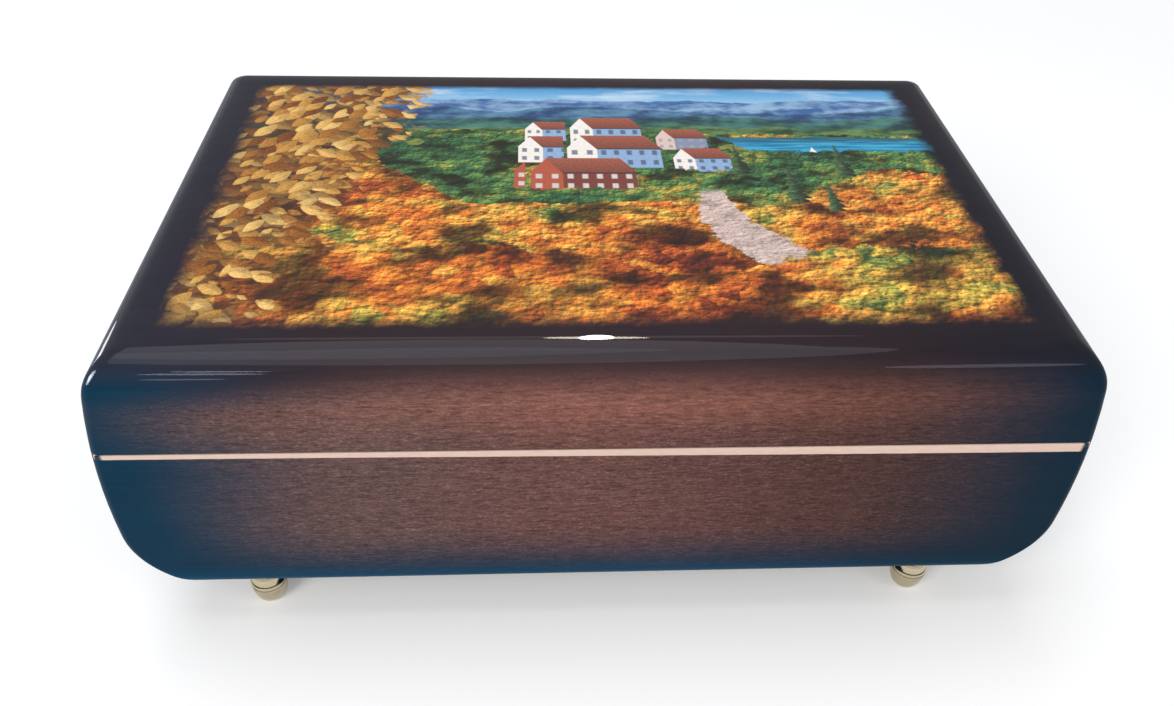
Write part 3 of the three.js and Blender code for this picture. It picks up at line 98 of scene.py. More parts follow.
def colour(name, default, description):
    return FloatVectorProperty(
        name=name, description=description, subtype="COLOR", default=default, min=0, max=1)


def angle(name, degrees, description):
    return FloatProperty(
        name=name, description=description, default=math.radians(degrees), subtype="ANGLE")


class CaseSizes(bpy.types.PropertyGroup):
    """Sizes of the wooden case that its fixed parts don't give by themselves."""

    shoulder: length("Shoulder", 85, "Half the width where the top rounding begins")
    bulge_height: length("Bulge height", 18.75, "Height of the widest place over the underside")
    top_rounding: length("Top rounding", 7.25, "Radius along the upper edges of the lid")
    end_rounding: length("End rounding", 15, "Radius that tucks the ends in under the case")
    face_rounding: length("Face rounding", 3, "Radius along the lower edge of front and back")
    corner: length("Corner", 1.8, "Radius of the upright corners")
    inner_x: length("Inner half width", 78, "Half the width between the end walls")
    inner_y: length("Inner half depth", 48.25, "Half the depth between the front and the back")
    floor_top: length("Floor", 18, "Height of the flange round the floor opening")
    opening_x: length("Opening half width", 66, "Half the width of the floor opening")
    opening_y: length("Opening half depth", 40, "Half the depth of the floor opening")
    lid_ceiling: length("Lid ceiling", 61.5, "Height of the hollow under the lid")
    lid_gap: length("Lid gap", 0.08, "Gap that shows between the lid and the pale rim")


class CaseColours(bpy.types.PropertyGroup):
    """Colours of the finishes."""

    # Painted reflection: the teal in this dark stain stands for a blue table mirrored in the
    # lacquer
    burst_and_painted_reflection: colour("Burst", (0.0005, 0.030, 0.064), "Stain at the ends and along the lower edge")
    night: colour("Night", (0.030, 0.020, 0.025), "Stain on the roundings of the lid")
    walnut: colour("Walnut", (0.140, 0.064, 0.056), "Wood in the middle of the front")
    grey_walnut: colour("Grey walnut", (0.120, 0.069, 0.063), "Wood left of the middle")
    warm_walnut: colour("Warm walnut", (0.270, 0.108, 0.080), "Wood below the lid's rounding")
    pink_fleck: colour("Pink fleck", (0.30, 0.17, 0.16), "Light flecks in the wood")
    bare_wood: colour("Bare wood", (0.77, 0.57, 0.48), "Unstained wood at the seam")
    velvet: colour("Velvet", (0.16, 0.008, 0.018), "Lining and pads")
    brass: colour("Brass", (0.72, 0.50, 0.23), "Hinges, key and wheels")
    foot_brass: colour("Foot brass", (0.54, 0.47, 0.33), "Polished brass of the feet")


class StageSettings(bpy.types.PropertyGroup):
    """Camera and light."""

    yaw: angle("Yaw", 4.23, "Camera's turn to the right")
    pitch: angle("Pitch", 41.28, "Camera's tilt down")
    roll: angle("Roll", 2.37, "Camera's turn about its view")
    place: FloatVectorProperty(
        name="Camera place", description="Where the camera stands", size=3,
        default=(-0.01247, -0.16927, 0.17199), subtype="XYZ", unit="LENGTH")
    focal_pixels: FloatProperty(
        name="Focal length in pixels", description="At an image 1174 pixels wide", default=976.9)
    image_width: IntProperty(name="Image width", description="In pixels", default=1174)
    floor_tone: FloatProperty(
        name="Floor tone", description="Grey of the floor", default=0.9, min=0, max=1)


def case_sizes():
    return bpy.context.scene.music_box_sizes


def colours():
    return bpy.context.scene.music_box_colours


# Shader maths

class Value:
    """A shader socket, so that maths on it reads as an expression."""

    def __init__(self, shader, socket):
        self.shader = shader
        self.socket = socket

    def times_plus(self, factor, addend):
        return self.maths("MULTIPLY_ADD", self, factor, addend)

    def maths(self, operation, *values):
        sockets = dict(enumerate(values))
        return self.shader.node("ShaderNodeMath", sockets, operation=operation)

    def __add__(self, other):
        return self.maths("ADD", self, other)

    def __sub__(self, other):
        return self.maths("SUBTRACT", self, other)

    def __rsub__(self, other):
        return self.maths("SUBTRACT", other, self)

    def __mul__(self, other):
        return self.maths("MULTIPLY", self, other)

    def __truediv__(self, other):
        return self.maths("DIVIDE", self, other)

    def __pow__(self, other):
        return self.maths("POWER", self, other)

    def __abs__(self):
        return self.maths("ABSOLUTE", self)

    __radd__ = __add__
    __rmul__ = __mul__

    def sin(self):
        return self.maths("SINE", self)

    def fraction(self):
        return self.maths("FRACT", self)

    def least(self, other):
        return self.maths("MINIMUM", self, other)

    def most(self, other):
        return self.maths("MAXIMUM", self, other)

    def rise(self, low, high):
        """0 below low, 1 above high, smooth between; falls where low is above high."""
        return self.shader.node(
            "ShaderNodeMapRange",
            {"Value": self, "From Min": low, "From Max": high},
            interpolation_type="SMOOTHSTEP")


class Shader:
    """One material, or the world, and the nodes in it."""

    def __init__(self, name, world=None):
        self.material = world or bpy.data.materials.new(name)
        self.material.use_nodes = True
        self.tree = self.material.node_tree
        self.tree.nodes.clear()
        self.coordinates = self.node("ShaderNodeTexCoord", output="Object")

    def node(self, kind, sockets=None, output=0, stops=None, **settings):
        """Adds a node: its settings first, then its ramp's stops, then its sockets."""
        node = self.tree.nodes.new(kind)
        for name, setting in settings.items():
            setattr(node, name, setting)
        if stops:
            ramp = node.color_ramp
            ramp.interpolation = stops[1]
            while len(ramp.elements) > 1:
                ramp.elements.remove(ramp.elements[0])
            for number, (position, colour) in enumerate(stops[0]):
                element = ramp.elements.new(position) if number else ramp.elements[0]
                element.position = position
                element.color = (*colour, 1)
        for name, value in (sockets or {}).items():
            socket = node.inputs[name]
            if isinstance(value, Value):
                self.tree.links.new(value.socket, socket)
            elif socket.type == "RGBA" and len(value) == 3:
                socket.default_value = (*value, 1)
            else:
                socket.default_value = value
        return Value(self, node.outputs[output])

    def place(self):
        """x, y and z on the object, in millimetres."""
        return [value / MM for value in self.parts("ShaderNodeSeparateXYZ", self.coordinates)]

    def parts(self, kind, whole):
        """The three parts of a place or a colour."""
        node = self.node(kind, {0: whole}).socket.node
        return [Value(self, output) for output in node.outputs[:3]]

    def channels(self, colour):
        return self.parts("ShaderNodeSeparateColor", colour)

    def point(self, x, y, z=0.0, seed=0.0, shift=(0, 0)):
        """The place in millimetres, times a factor for each axis, moved away by a seed."""
        return self.node("ShaderNodeMapping", {
            "Vector": self.coordinates, "Scale": (x / MM, y / MM, z / MM),
            "Location": (seed * 3.7 + shift[0], seed * 1.9 + shift[1], seed)})

    def turned(self, length, width, angle, seed):
        """The place on the picture for spots of a length and width that lie at an angle."""
        return self.node("ShaderNodeMapping", {
            "Vector": self.coordinates, "Scale": (length * MM, width * MM, 1),
            "Rotation": (0, 0, math.radians(angle)), "Location": (seed, seed * 0.7, 0),
        }, vector_type="TEXTURE")

    def noise(self, point, detail=2.0, roughness=0.5):
        return self.node(
            "ShaderNodeTexNoise",
            {"Vector": point, "Scale": 1.0, "Detail": detail, "Roughness": roughness})

    def cells(self, point, output="Distance", sockets=None, **settings):
        sockets = {"Vector": point, "Scale": 1.0, **(sockets or {})}
        return self.node("ShaderNodeTexVoronoi", sockets, output=output, **settings)

    def ramp(self, value, stops, interpolation="LINEAR"):
        return self.node("ShaderNodeValToRGB", {0: value}, stops=(stops, interpolation))

    def blend(self, factor, below, above, clamp_factor=True):
        """Colour below where factor is 0, and above where it is 1."""
        return self.node(
            "ShaderNodeMix", {0: factor, 6: below, 7: above}, output=2,
            data_type="RGBA", clamp_factor=clamp_factor)

    def shade(self, colour, value):
        """The colour times a value."""
        return self.blend(value, (0, 0, 0), colour, clamp_factor=False)

    def bump(self, height, distance, strength=1.0):
        return self.node(
            "ShaderNodeBump", {"Height": height, "Distance": distance, "Strength": strength})

    def surface(self, **sockets):
        """The Principled surface, with constants set on its own sockets."""
        named = {name.replace("_", " "): value for name, value in sockets.items()}
        out = self.node("ShaderNodeBsdfPrincipled", named)
        self.finish(out)
        return self.material

    def finish(self, out, kind="ShaderNodeOutputMaterial"):
        node = self.tree.nodes.new(kind)
        self.tree.links.new(out.socket, node.inputs["Surface"])


# Finishes

LACQUER = {
    "Roughness": 0.4,
    "Specular_IOR_Level": 0.0,
    "Coat_Weight": 0.32,
    "Coat_Roughness": 0.02,
    "Coat_IOR": 1.27,
}


def burst_colour(shader, x, z):
    """Stained wood: walnut in the middle of the front, fading to a blue black stain at ends and
    edges, whose teal tint is a painted reflection of a blue table; painted shade darkens it towards
    the right and a painted reflection lightens it along the lower edge.
    A wedge of it under the seam is bare."""
    tone = colours()
    rounding = (TOP - case_sizes().top_rounding) / MM
    fibre = shader.noise(shader.point(0.06, 0.5, 1.1), 4, 0.65)
    dashes = shader.noise(shader.point(0.42, 1.6, 2.3), 3, 0.7)
    specks = shader.noise(shader.point(1.5, 3.0, 3.2), 2, 0.7)
    ripple = shader.noise(shader.point(0.42, 0.2, 0.06), 2)
    cloud = shader.noise(shader.point(0.018, 0.05, 0.07), 2) - 0.5
    side = x + cloud * 12
    along = (side + z.rise(44, 56) * 9).rise(-83, -43) * side.rise(85, 44)
    up = (z - UNDERSIDE / MM + cloud * 3 + (dashes - 0.5) * 2).rise(0.5, 18)
    lower = x.rise(-25, -80) * 3.2
    over = (z + (dashes - 0.5) * 2.2 + lower).rise(rounding + 6.8, rounding - 0.8)
    warmth = z.rise(rounding - 12, rounding + 1) * x.rise(-95, 30)
    wood = shader.blend(x.rise(-8, -40), tone.walnut[:], tone.grey_walnut[:])
    wood = shader.blend(warmth, wood, tone.warm_walnut[:])
    wood = shader.blend(specks.rise(0.52, 0.74) * 0.5, wood, tone.pink_fleck[:])
    figure = dashes * 2.3 + fibre * 0.7 + specks * 0.6 - 0.8
    # Painted shade: the wood darkens by half towards the right, as if the light fell from the left
    wood = shader.shade(wood, figure * (0.9 + ripple * 0.2) * (1.02 - x.rise(-8, 58) * 0.5))
    ends = (abs(x) + cloud * 8).rise(40, 82) * (1 - z.rise(rounding + 2, TOP / MM) * 0.75)
    stain = shader.blend(z.rise(rounding - 2, rounding + 3), tone.burst_and_painted_reflection[:], tone.night[:])
    stain = shader.blend(ends, stain, tone.burst_and_painted_reflection[:])
    # Painted reflection: the stain lightens within 7 mm of the underside, where the table mirrors
    # in the lacquer. Painted shade: the stain darkens towards the right end.
    grain_and_painted_reflection = 0.8 + fibre * 0.5 + (z - UNDERSIDE / MM).rise(7, 1) * 0.8
    stain = shader.shade(stain, grain_and_painted_reflection * (1 - x.rise(10, 85) * 0.45))
    stained = shader.blend(along * up * over, stain, wood)
    bare = shader.shade(tone.bare_wood[:], 0.84 + dashes * 0.3)
    depth = 0.95 + x.rise(-100, 92) * 1.1 + (dashes - 0.5) * 0.12
    wedge = (depth + (z - SEAM / MM)).rise(-0.08, 0.08) * z.rise(SEAM / MM + 0.03, SEAM / MM - 0.03)
    return shader.blend(wedge * abs(x).rise(85.4, 84.6), stained, bare)


def lacquered_wood():
    shader = Shader("lacquered_wood")
    x, _, z = shader.place()
    wave = shader.noise(shader.point(0.16, 0.16, 0.16), 2)
    return shader.surface(
        Base_Color=burst_colour(shader, x, z),
        Normal=shader.bump(wave, 0.02 * MM, 0.3), **LACQUER)


def printed_picture():
    """The picture, which fades away towards its edges."""
    shader = Shader("printed_picture")
    x, y, z = shader.place()
    half_x = picture_high.x / MM
    half_y = picture_high.y / MM
    wander = shader.noise(shader.point(0.16, 0.16), 4, 0.65) - 0.5
    across = (abs(x) + wander * 6).rise(half_x + 0.3, half_x - 4.5)
    front = (y + wander * 4).rise(0.3 - half_y, 6 - half_y)
    back = (y + wander).rise(half_y - 0.2, half_y - 2.5)
    within = across * front * back
    colour = shader.blend(within, burst_colour(shader, x, z), landscape(shader, x, y))
    wave = shader.noise(shader.point(0.16, 0.16, 0.16), 2)
    return shader.surface(
        Base_Color=colour, Normal=shader.bump(wave, 0.02 * MM, 0.3), **LACQUER)


# The picture: a made up autumn valley with a lake, farm houses, woods and a golden branch

AUTUMN = [
    (0.0, (0.16, 0.022, 0.008)), (0.2, (0.52, 0.10, 0.016)), (0.4, (0.83, 0.25, 0.03)),
    (0.58, (0.93, 0.45, 0.07)), (0.74, (0.42, 0.34, 0.05)), (0.9, (0.07, 0.16, 0.045)),
]
GREENS = [
    (0.0, (0.01, 0.05, 0.03)), (0.3, (0.035, 0.14, 0.05)), (0.55, (0.13, 0.26, 0.06)),
    (0.75, (0.50, 0.36, 0.06)), (1.0, (0.80, 0.30, 0.04)),
]
LEAF_GOLD = [
    (0.0, (0.30, 0.06, 0.01)), (0.3, (0.70, 0.24, 0.03)), (0.6, (0.92, 0.47, 0.09)),
    (1.0, (0.96, 0.62, 0.20)),
]


def ridge(shader, base, swing, scale, seed):
    """Height of a line of hills over the picture's width."""
    line = shader.noise(shader.point(scale, 0, 0, seed), 5, 0.55)
    return base + (line - 0.5) * swing


def relief(shader, x, y, seed, detail=3):
    """Light from the upper left on rough ground, from 0 to 1."""
    here = shader.noise(shader.point(x, y, 0, seed), detail, 0.6)
    lit = shader.noise(shader.point(x, y, 0, seed, (-0.16, 0.2)), detail, 0.6)
    return (here - lit) * 2.6 + 0.5


def foliage(shader, size, stops, seed):
    """Tree crowns of a size, each with its own colour, lit from the upper left.
    Gives their colour and how far they bulge over the edge of their wood."""
    leafy = {"Detail": 1.6, "Roughness": 0.42, "Lacunarity": 2.7}
    here = shader.point(1 / size, 1.35 / size, 0, seed)
    lit = shader.point(1 / size, 1.35 / size, 0, seed, (-0.11, 0.16))
    crowns = shader.cells(here, sockets=leafy, normalize=True)
    dapple = shader.noise(shader.point(2.1 / size, 2.8 / size, 0, seed + 7), 3, 0.7)
    depth = crowns * 1.25 + (dapple - 0.5) * 0.5
    crown_light = (shader.cells(lit, sockets=leafy, normalize=True) - crowns) * 4.2 + 0.55
    pick = shader.channels(shader.cells(here, "Color"))[0]
    patch = shader.noise(shader.point(0.10 / size, 0.16 / size, 0, seed + 3), 3, 0.6)
    crown = shader.ramp(pick * 0.30 + patch * 2.1 + dapple * 0.5 - 1.0, stops)
    clumps = relief(shader, 3.2 / size, 4.4 / size, seed + 5)
    glades = shader.noise(shader.point(0.26 / size, 0.42 / size, 0, seed + 11), 2, 0.6)
    light = (0.12 + crown_light.most(0) * depth.rise(0.92, 0.25)) * (0.2 + clumps.most(0) * 1.5)
    return (shader.shade(crown, light * (0.18 + glades.rise(0.36, 0.56) * 1.35)),
            (0.5 - depth) * size)


def inside(value, low, high, soft=0.1):
    """1 where the value lies between two bounds."""
    return value.rise(low - soft, low + soft) * value.rise(high + soft, high - soft)


# Rows of farm houses, from the far one to the near one. Each house: corner, ground, width of the
# gable, of the side, height of the wall, of the roof, windows across the side, share of brick
VILLAGE = [
    [(-29, 17.0, 4.4, 8.0, 5.6, 3.6, 4, 0), (-13.5, 18.5, 3.8, 7.0, 5.2, 3.2, 3, 0),
     (1, 16.5, 5.0, 10.5, 7.8, 4.6, 4, 0), (18.5, 15.0, 4.0, 7.0, 5.2, 3.6, 3, 0.4)],
    [(-34, 8.0, 5.6, 10.0, 7.2, 4.8, 4, 0.15), (-16, 9.5, 5.2, 9.0, 6.6, 4.4, 3, 0),
     (1.5, 7.5, 6.4, 13.5, 8.0, 5.4, 5, 0), (22, 6.0, 4.6, 7.5, 5.6, 4.0, 3, 0)],
    [(-26.5, -0.5, 6.0, 11.0, 6.6, 5.0, 4, 1), (-6, -1.5, 6.6, 15.0, 7.2, 5.6, 5, 1)],
]
FIRS = [
    [(-58, 6, 13), (-49, 5, 15), (-42, 3, 11), (31, 5, 13), (38, 3, 17), (53, 4, 14), (59, 1, 17)],
    [(-46, -4, 17), (-36, -7, 13), (-16, -12, 15), (-9, -16, 18), (41, -6, 15), (48, -9, 12)],
]
ROW_WIDTH = 160
PART = 20


def row_values(shader, x, things, reach):
    """The numbers of the thing that stands at x, in a row of things that don't overlap."""
    position = x / ROW_WIDTH + 0.5
    count = len(things[0])
    found = []
    for start in range(0, count, 3):
        stops = [(0, (0, 0, 0))]
        for thing in things:
            low, high = reach(thing)
            part = [thing[i] / PART + 0.5 if i < count else 0 for i in range(start, start + 3)]
            stops += [(low / ROW_WIDTH + 0.5, part), (high / ROW_WIDTH + 0.5, (0, 0, 0))]
        channels = shader.channels(shader.ramp(position, stops, "CONSTANT"))
        found += [value.times_plus(PART, PART * -0.5) for value in channels[:count - start]]
    return found


def panes(across, up, columns, rows):
    """1 on the windows of a wall, for places across and up it from 0 to 1."""
    column = (across * columns).fraction()
    row = (up * rows).fraction()
    return inside(column, 0.30, 0.70, 0.06) * inside(row, 0.30, 0.78, 0.06)


def house_row(shader, x, y, grain, below, houses):
    """Farm houses seen over a corner: gable on the left, long side and roof on the right."""
    corner, ground, gable, side, wall, roof, columns, brick = row_values(
        shader, x, houses, lambda house: (house[0] - house[2] - 0.8, house[0] + house[3] + 1.2))
    across = x - corner
    up = y - ground
    over = (up - wall) / roof
    half = gable / 2
    slant = across + over * half
    lit = shader.blend(brick, (0.92, 0.86, 0.80), (0.46, 0.095, 0.05))
    shaded = shader.blend(brick, (0.27, 0.43, 0.66), (0.20, 0.045, 0.035))
    glass = shader.blend(brick, (0.08, 0.12, 0.20), (0.72, 0.70, 0.66))
    long_side = inside(across, 0, side) * inside(up, 0, wall)
    windows = panes(across / side, up / wall, columns, 2)
    wall_colour = shader.blend(windows * 0.9, shaded, glass)
    scene = shader.blend(long_side, below, shader.shade(wall_colour, 0.7 + grain * 0.6))
    narrow = ((1 - over) * half).least(half) - abs(across + half)
    windows = panes(across / gable + 1, up / wall, 2, 2) * up.rise(wall + 0.1, wall - 0.1)
    gable_colour = shader.shade(shader.blend(windows * 0.85, lit, glass), 0.78 + grain * 0.44)
    scene = shader.blend(narrow.rise(-0.1, 0.1) * up.rise(-0.1, 0.1), scene, gable_colour)
    along_roof = inside(slant, -0.35, side + 0.35)
    tiles = shader.shade((0.34, 0.095, 0.06), (0.4 + grain) * (0.7 + over * 0.5))
    scene = shader.blend(along_roof * inside(over, -0.05, 1, 0.03), scene, tiles)
    return shader.blend(along_roof * inside(over, -0.1, -0.03, 0.03), scene, (0.03, 0.02, 0.025))


def fir_row(shader, x, y, rag, green, below, firs):
    """Dark firs with drooping tiers, lighter on their left."""
    foot_x, foot_y, height = row_values(
        shader, x, firs, lambda tree: (tree[0] - tree[2] * 0.24, tree[0] + tree[2] * 0.24))
    up = y - foot_y
    share = up / height
    tier = 1 - (share * 6 + 0.3).fraction()
    reach = (1 - share) * (0.55 + tier * 0.6) * (height * 0.20) + rag * 2.0
    across = x - foot_x
    mask = (reach - abs(across)).rise(-0.15, 0.3) * up.rise(0, 0.4) * share.rise(1, 0.95)
    lit = (rag * 3 - across / height * 5).rise(-0.6, 1.0) * (0.5 + tier * 0.8)
    return shader.blend(mask, below, shader.blend(lit, (0.004, 0.018, 0.018), green))


def landscape(shader, x, y):
    grain = shader.noise(shader.point(1.6, 2.6, 0, 19), 2, 0.7)

    # Sky, and ranges of mountains that turn green towards the lake
    wisps = shader.noise(shader.point(0.04, 0.2), 4, 0.6).rise(0.45, 0.72)
    sky = shader.ramp(y.rise(30, 45), [(0.0, (0.42, 0.72, 0.92)), (1.0, (0.05, 0.30, 0.62))])
    scene = shader.blend(wisps * 0.6, sky, (0.80, 0.87, 0.93))
    slopes = relief(shader, 0.07, 0.16, 31, 4)
    for base, swing, scale, seed, dark, light in [
        (37.5, 13, 0.026, 1.5, (0.03, 0.12, 0.34), (0.30, 0.48, 0.68)),
        (33.5, 14, 0.036, 7.5, (0.010, 0.055, 0.16), (0.11, 0.27, 0.42)),
        (28.5, 9, 0.05, 12.5, (0.005, 0.045, 0.06), (0.06, 0.21, 0.18)),
        (24.5, 6, 0.07, 15.5, (0.006, 0.05, 0.03), (0.15, 0.27, 0.08)),
    ]:
        crest = ridge(shader, base, swing, scale, seed)
        range_colour = shader.blend(slopes.rise(0.15, 0.95), dark, light)
        scene = shader.blend((crest - y).rise(-0.2, 0.3), scene, range_colour)

    # Lake with a wooded far bank and a small boat
    bank = ridge(shader, 20.5, 2.5, 0.10, 21.5)
    ripples = shader.noise(shader.point(0.08, 1.4, 0, 5), 3, 0.6)
    water = shader.blend(ripples.rise(0.38, 0.68), (0.0, 0.16, 0.36), (0.05, 0.50, 0.72))
    water = shader.blend(y.rise(17, 20.5) * 0.75, water, (0.01, 0.06, 0.08))
    scene = shader.blend((bank - y).rise(-0.1, 0.2), scene, water)
    woods, bulge = foliage(shader, 1.8, GREENS, 31)
    top = ridge(shader, 21.5, 3, 0.16, 23.5) + bulge
    strip = (top - y).rise(-0.2, 0.3) * (y - bank).rise(-0.2, 0.3)
    scene = shader.blend(strip, scene, woods)
    sail = (1.1 - abs(x - 48) - (y - 13.2) * 0.36).rise(-0.1, 0.1) * y.rise(13.1, 13.4)
    hull = inside(x, 46.3, 49.9) * inside(y, 12.4, 13.0)
    scene = shader.blend(sail, scene, (0.90, 0.90, 0.88))
    scene = shader.blend(hull, scene, (0.10, 0.03, 0.02))

    # Meadow, trees and village on this shore
    shore = ridge(shader, 15, 4, 0.09, 41.5) + x.rise(40, 20) * 8 - x.rise(28, 56) * 10
    tone = relief(shader, 0.2, 0.5, 8)
    meadow = shader.blend(tone, (0.05, 0.12, 0.03), (0.36, 0.36, 0.09))
    scene = shader.blend((shore - y).rise(-0.2, 0.3), scene, meadow)
    trees, bulge = foliage(shader, 2.4, GREENS, 51)
    clumps = shader.noise(shader.point(0.10, 0.15, 0, 9), 2).rise(0.38, 0.42)
    scene = shader.blend(clumps * (shore + bulge - y).rise(-0.1, 0.3), scene, trees)
    for base, seed, houses in zip((14.5, 6.5, -1.0), (45.5, 47.5, 49.5), VILLAGE):
        scene = house_row(shader, x, y, grain, scene, houses)
        hedge = ridge(shader, base, 4.5, 0.13, seed) + bulge * 1.2
        scene = shader.blend((hedge - y).rise(-0.2, 0.3), scene, trees)

    # Woods of the near slopes, and pale scree and a lane between them
    near, bulge = foliage(shader, 3.3, AUTUMN, 61)
    hill = ridge(shader, -6.5, 7, 0.06, 71.5) + x.rise(-20, -52) * 18 + x.rise(34, 62) * 12
    scene = shader.blend((hill + bulge * 1.1 - y).rise(-0.3, 0.4), scene, near)
    rubble = relief(shader, 0.7, 1.3, 3)
    sand = shader.blend(rubble, (0.36, 0.23, 0.20), (0.98, 0.80, 0.72))
    worn = shader.noise(shader.point(0.22, 0.3, 0, 17), 3, 0.65) - 0.5
    lane_middle = 24 + (y * 0.13).sin() * 4 - y * 0.45
    lane_half = 2.2 + y.rise(2, -26) * 5.0 + worn * 7 + (grain - 0.5) * 1.5
    lane = (lane_half - abs(x - lane_middle)).rise(-0.3, 0.4) * y.rise(-0.5, -2.5)
    scene = shader.blend(lane, scene, shader.shade(sand, 0.55 + worn.rise(-0.2, 0.1) * 0.45))
    rag = shader.noise(shader.point(0.9, 2.6, 0, 13), 2, 0.6) - 0.5
    green = shader.shade((0.10, 0.20, 0.07), 0.4 + grain * 1.2)
    for firs in FIRS:
        scene = fir_row(shader, x, y, rag, green, scene, firs)
    front, bulge = foliage(shader, 4.4, AUTUMN, 83)
    brow = ridge(shader, -21, 14, 0.05, 91.5) + bulge * 1.2 - x.rise(-4, 16) * x.rise(46, 26) * 9
    scene = shader.blend((brow - y).rise(-0.4, 0.6), scene, front)

    # Golden branches that hang in from the left
    thick = shader.noise(shader.point(0.06, 0.11, 0, 11), 4, 0.6) - 0.5
    for angle, seed, start in [(14, 0.31, 52), (-28, 0.57, 46), (52, 0.83, 54)]:
        pointed = {"sockets": {"Exponent": 1.42}, "distance": "MINKOWSKI"}
        spots = shader.turned(5.2, 2.7, angle, seed)
        lit = shader.turned(5.2, 2.7, angle, seed + 0.0003)
        pick = shader.channels(shader.cells(spots, "Color", **pointed))[0]
        depth = shader.cells(spots, **pointed)
        light = (shader.cells(lit, **pointed) - depth) * 1.8 + 0.75
        gold = shader.ramp(pick * 0.9 + grain * 0.5 - 0.15, LEAF_GOLD)
        gold = shader.shade(gold, light * (0.5 + grain * 0.8) * (0.55 + pick * 0.6))
        reach = (y * 0.35 - x + thick * 56).rise(start, start + 4)
        scene = shader.blend(reach * 0.5, scene, (0.05, 0.022, 0.012))
        leaf = (depth + (grain - 0.5) * 0.22).rise(0.67, 0.62)
        scene = shader.blend(reach * leaf, scene, gold)
    return shader.blend(0.07, shader.shade(scene, 0.88 + grain * 0.30), (0.34, 0.27, 0.25))


def bare_wood(name, light, dark):
    """Unfinished wood with its grain along X."""
    shader = Shader(name)
    rings = shader.noise(shader.point(0.03, 0.9, 0.9), 4, 0.6)
    pores = shader.noise(shader.point(0.4, 6, 6), 3, 0.6)
    colour = shader.blend(rings.rise(0.3, 0.72), dark, light)
    colour = shader.shade(colour, 0.72 + pores * 0.5)
    return shader.surface(
        Base_Color=colour, Roughness=0.55 + pores * 0.2,
        Normal=shader.bump(pores + rings, 0.12 * MM, 0.5))


def seam_rim():
    """The rim: bare wood under the lid and inside, stained wood where the burst reaches it."""
    shader = Shader("pale_wood")
    x, y, z = shader.place()
    grain = shader.noise(shader.point(0.12, 0.5, 3.5), 3, 0.6)
    bare = shader.shade(colours().bare_wood[:], 0.84 + grain * 0.3)
    edge = HALF_DEPTH / MM - 0.3
    end = band_high.x / MM - 0.9
    outer = abs(y).rise(edge, edge + 0.1).most(abs(x).rise(end, end + 0.2))
    colour = shader.blend(outer, bare, burst_colour(shader, x, z))
    return shader.surface(Base_Color=colour, Roughness=0.45, Specular_IOR_Level=0.15)


def fibre_board():
    shader = Shader("fibreboard")
    flecks = shader.noise(shader.point(1.4, 1.4, 1.4), 4, 0.7)
    blotch = shader.noise(shader.point(0.05, 0.05, 0.05), 2)
    colour = shader.ramp(flecks * 0.8 + blotch * 0.3, [
        (0.25, (0.055, 0.028, 0.015)), (0.55, (0.13, 0.072, 0.04)), (0.85, (0.24, 0.145, 0.085))])
    return shader.surface(
        Base_Color=colour, Roughness=0.82, Normal=shader.bump(flecks, 0.15 * MM, 0.6))


def velvet():
    shader = Shader("velvet")
    nap = shader.noise(shader.point(3.2, 3.2, 3.2), 3, 0.7)
    brushed = shader.noise(shader.point(0.06, 0.1, 0.1), 3, 0.6)
    colour = shader.shade(colours().velvet[:], (0.55 + nap * 0.6) * (0.55 + brushed * 0.9))
    return shader.surface(
        Base_Color=colour, Roughness=0.95, Specular_IOR_Level=0.05, Sheen_Weight=0.6,
        Sheen_Roughness=0.4, Sheen_Tint=(0.85, 0.25, 0.3, 1),
        Normal=shader.bump(nap, 0.25 * MM, 0.8))


def metal(name, colour, roughness, brushed, stain=(0.4, 0.3, 0.2), dulled=0.25):
    """Metal with fine marks along one way and a little tarnish."""
    shader = Shader(name)
    scales = [0.25 if axis == brushed else 5.0 for axis in "xyz"]
    marks = shader.noise(shader.point(*scales), 3, 0.6)
    tarnish = shader.noise(shader.point(0.5, 0.5, 0.5), 4, 0.62)
    dull = tarnish.rise(0.5, 0.78) * dulled
    tone = shader.blend(dull, colour, [a * b for a, b in zip(colour, stain)])
    return shader.surface(
        Base_Color=shader.shade(tone, 0.9 + marks * 0.2), Metallic=1.0,
        Roughness=roughness + marks * 0.12 + dull * 0.3,
        Normal=shader.bump(marks, 0.03 * MM, 0.4))


def clear_glass():
    shader = Shader("clear_glass")
    film = shader.noise(shader.point(0.08, 0.08, 0.08), 3, 0.6)
    return shader.surface(
        Base_Color=(0.93, 0.97, 0.96, 1), Roughness=film.rise(0.6, 0.9) * 0.012,
        Specular_IOR_Level=0.15, IOR=1.49, Transmission_Weight=1.0)


finishes = {}


def make_finishes():
    tone = colours()
    brass = tone.brass[:]
    finishes.update({
        "lacquered_wood": lacquered_wood(),
        "printed_panel": printed_picture(),
        "pale_wood": seam_rim(),
        "plain_wood": bare_wood("plain_wood", (0.42, 0.24, 0.12), (0.22, 0.11, 0.05)),
        "inner_wood": bare_wood("inner_wood", (0.085, 0.042, 0.028), (0.028, 0.014, 0.010)),
        "fibreboard": fibre_board(),
        "velvet": velvet(),
        "brass": metal("brass", brass, 0.16, "z"),
        "wheel_brass": metal("wheel_brass", brass, 0.22, "x"),
        "steel": metal("steel", (0.56, 0.57, 0.59), 0.22, "y", (0.55, 0.45, 0.38)),
        "comb_steel": metal("comb_steel", (0.50, 0.52, 0.55), 0.16, "x", (0.5, 0.5, 0.6)),
        "dull_steel": metal("dull_steel", (0.28, 0.29, 0.31), 0.42, "z"),
        "zinc": metal("zinc", (0.40, 0.41, 0.43), 0.40, "y", (0.6, 0.6, 0.62), 0.5),
        "clear_glass": clear_glass(),
        "foot_brass": metal(
            "foot_brass", tone.foot_brass[:], 0.07, "z", (0.5, 0.55, 0.45), 0.4),
    })


# Mesh helpers

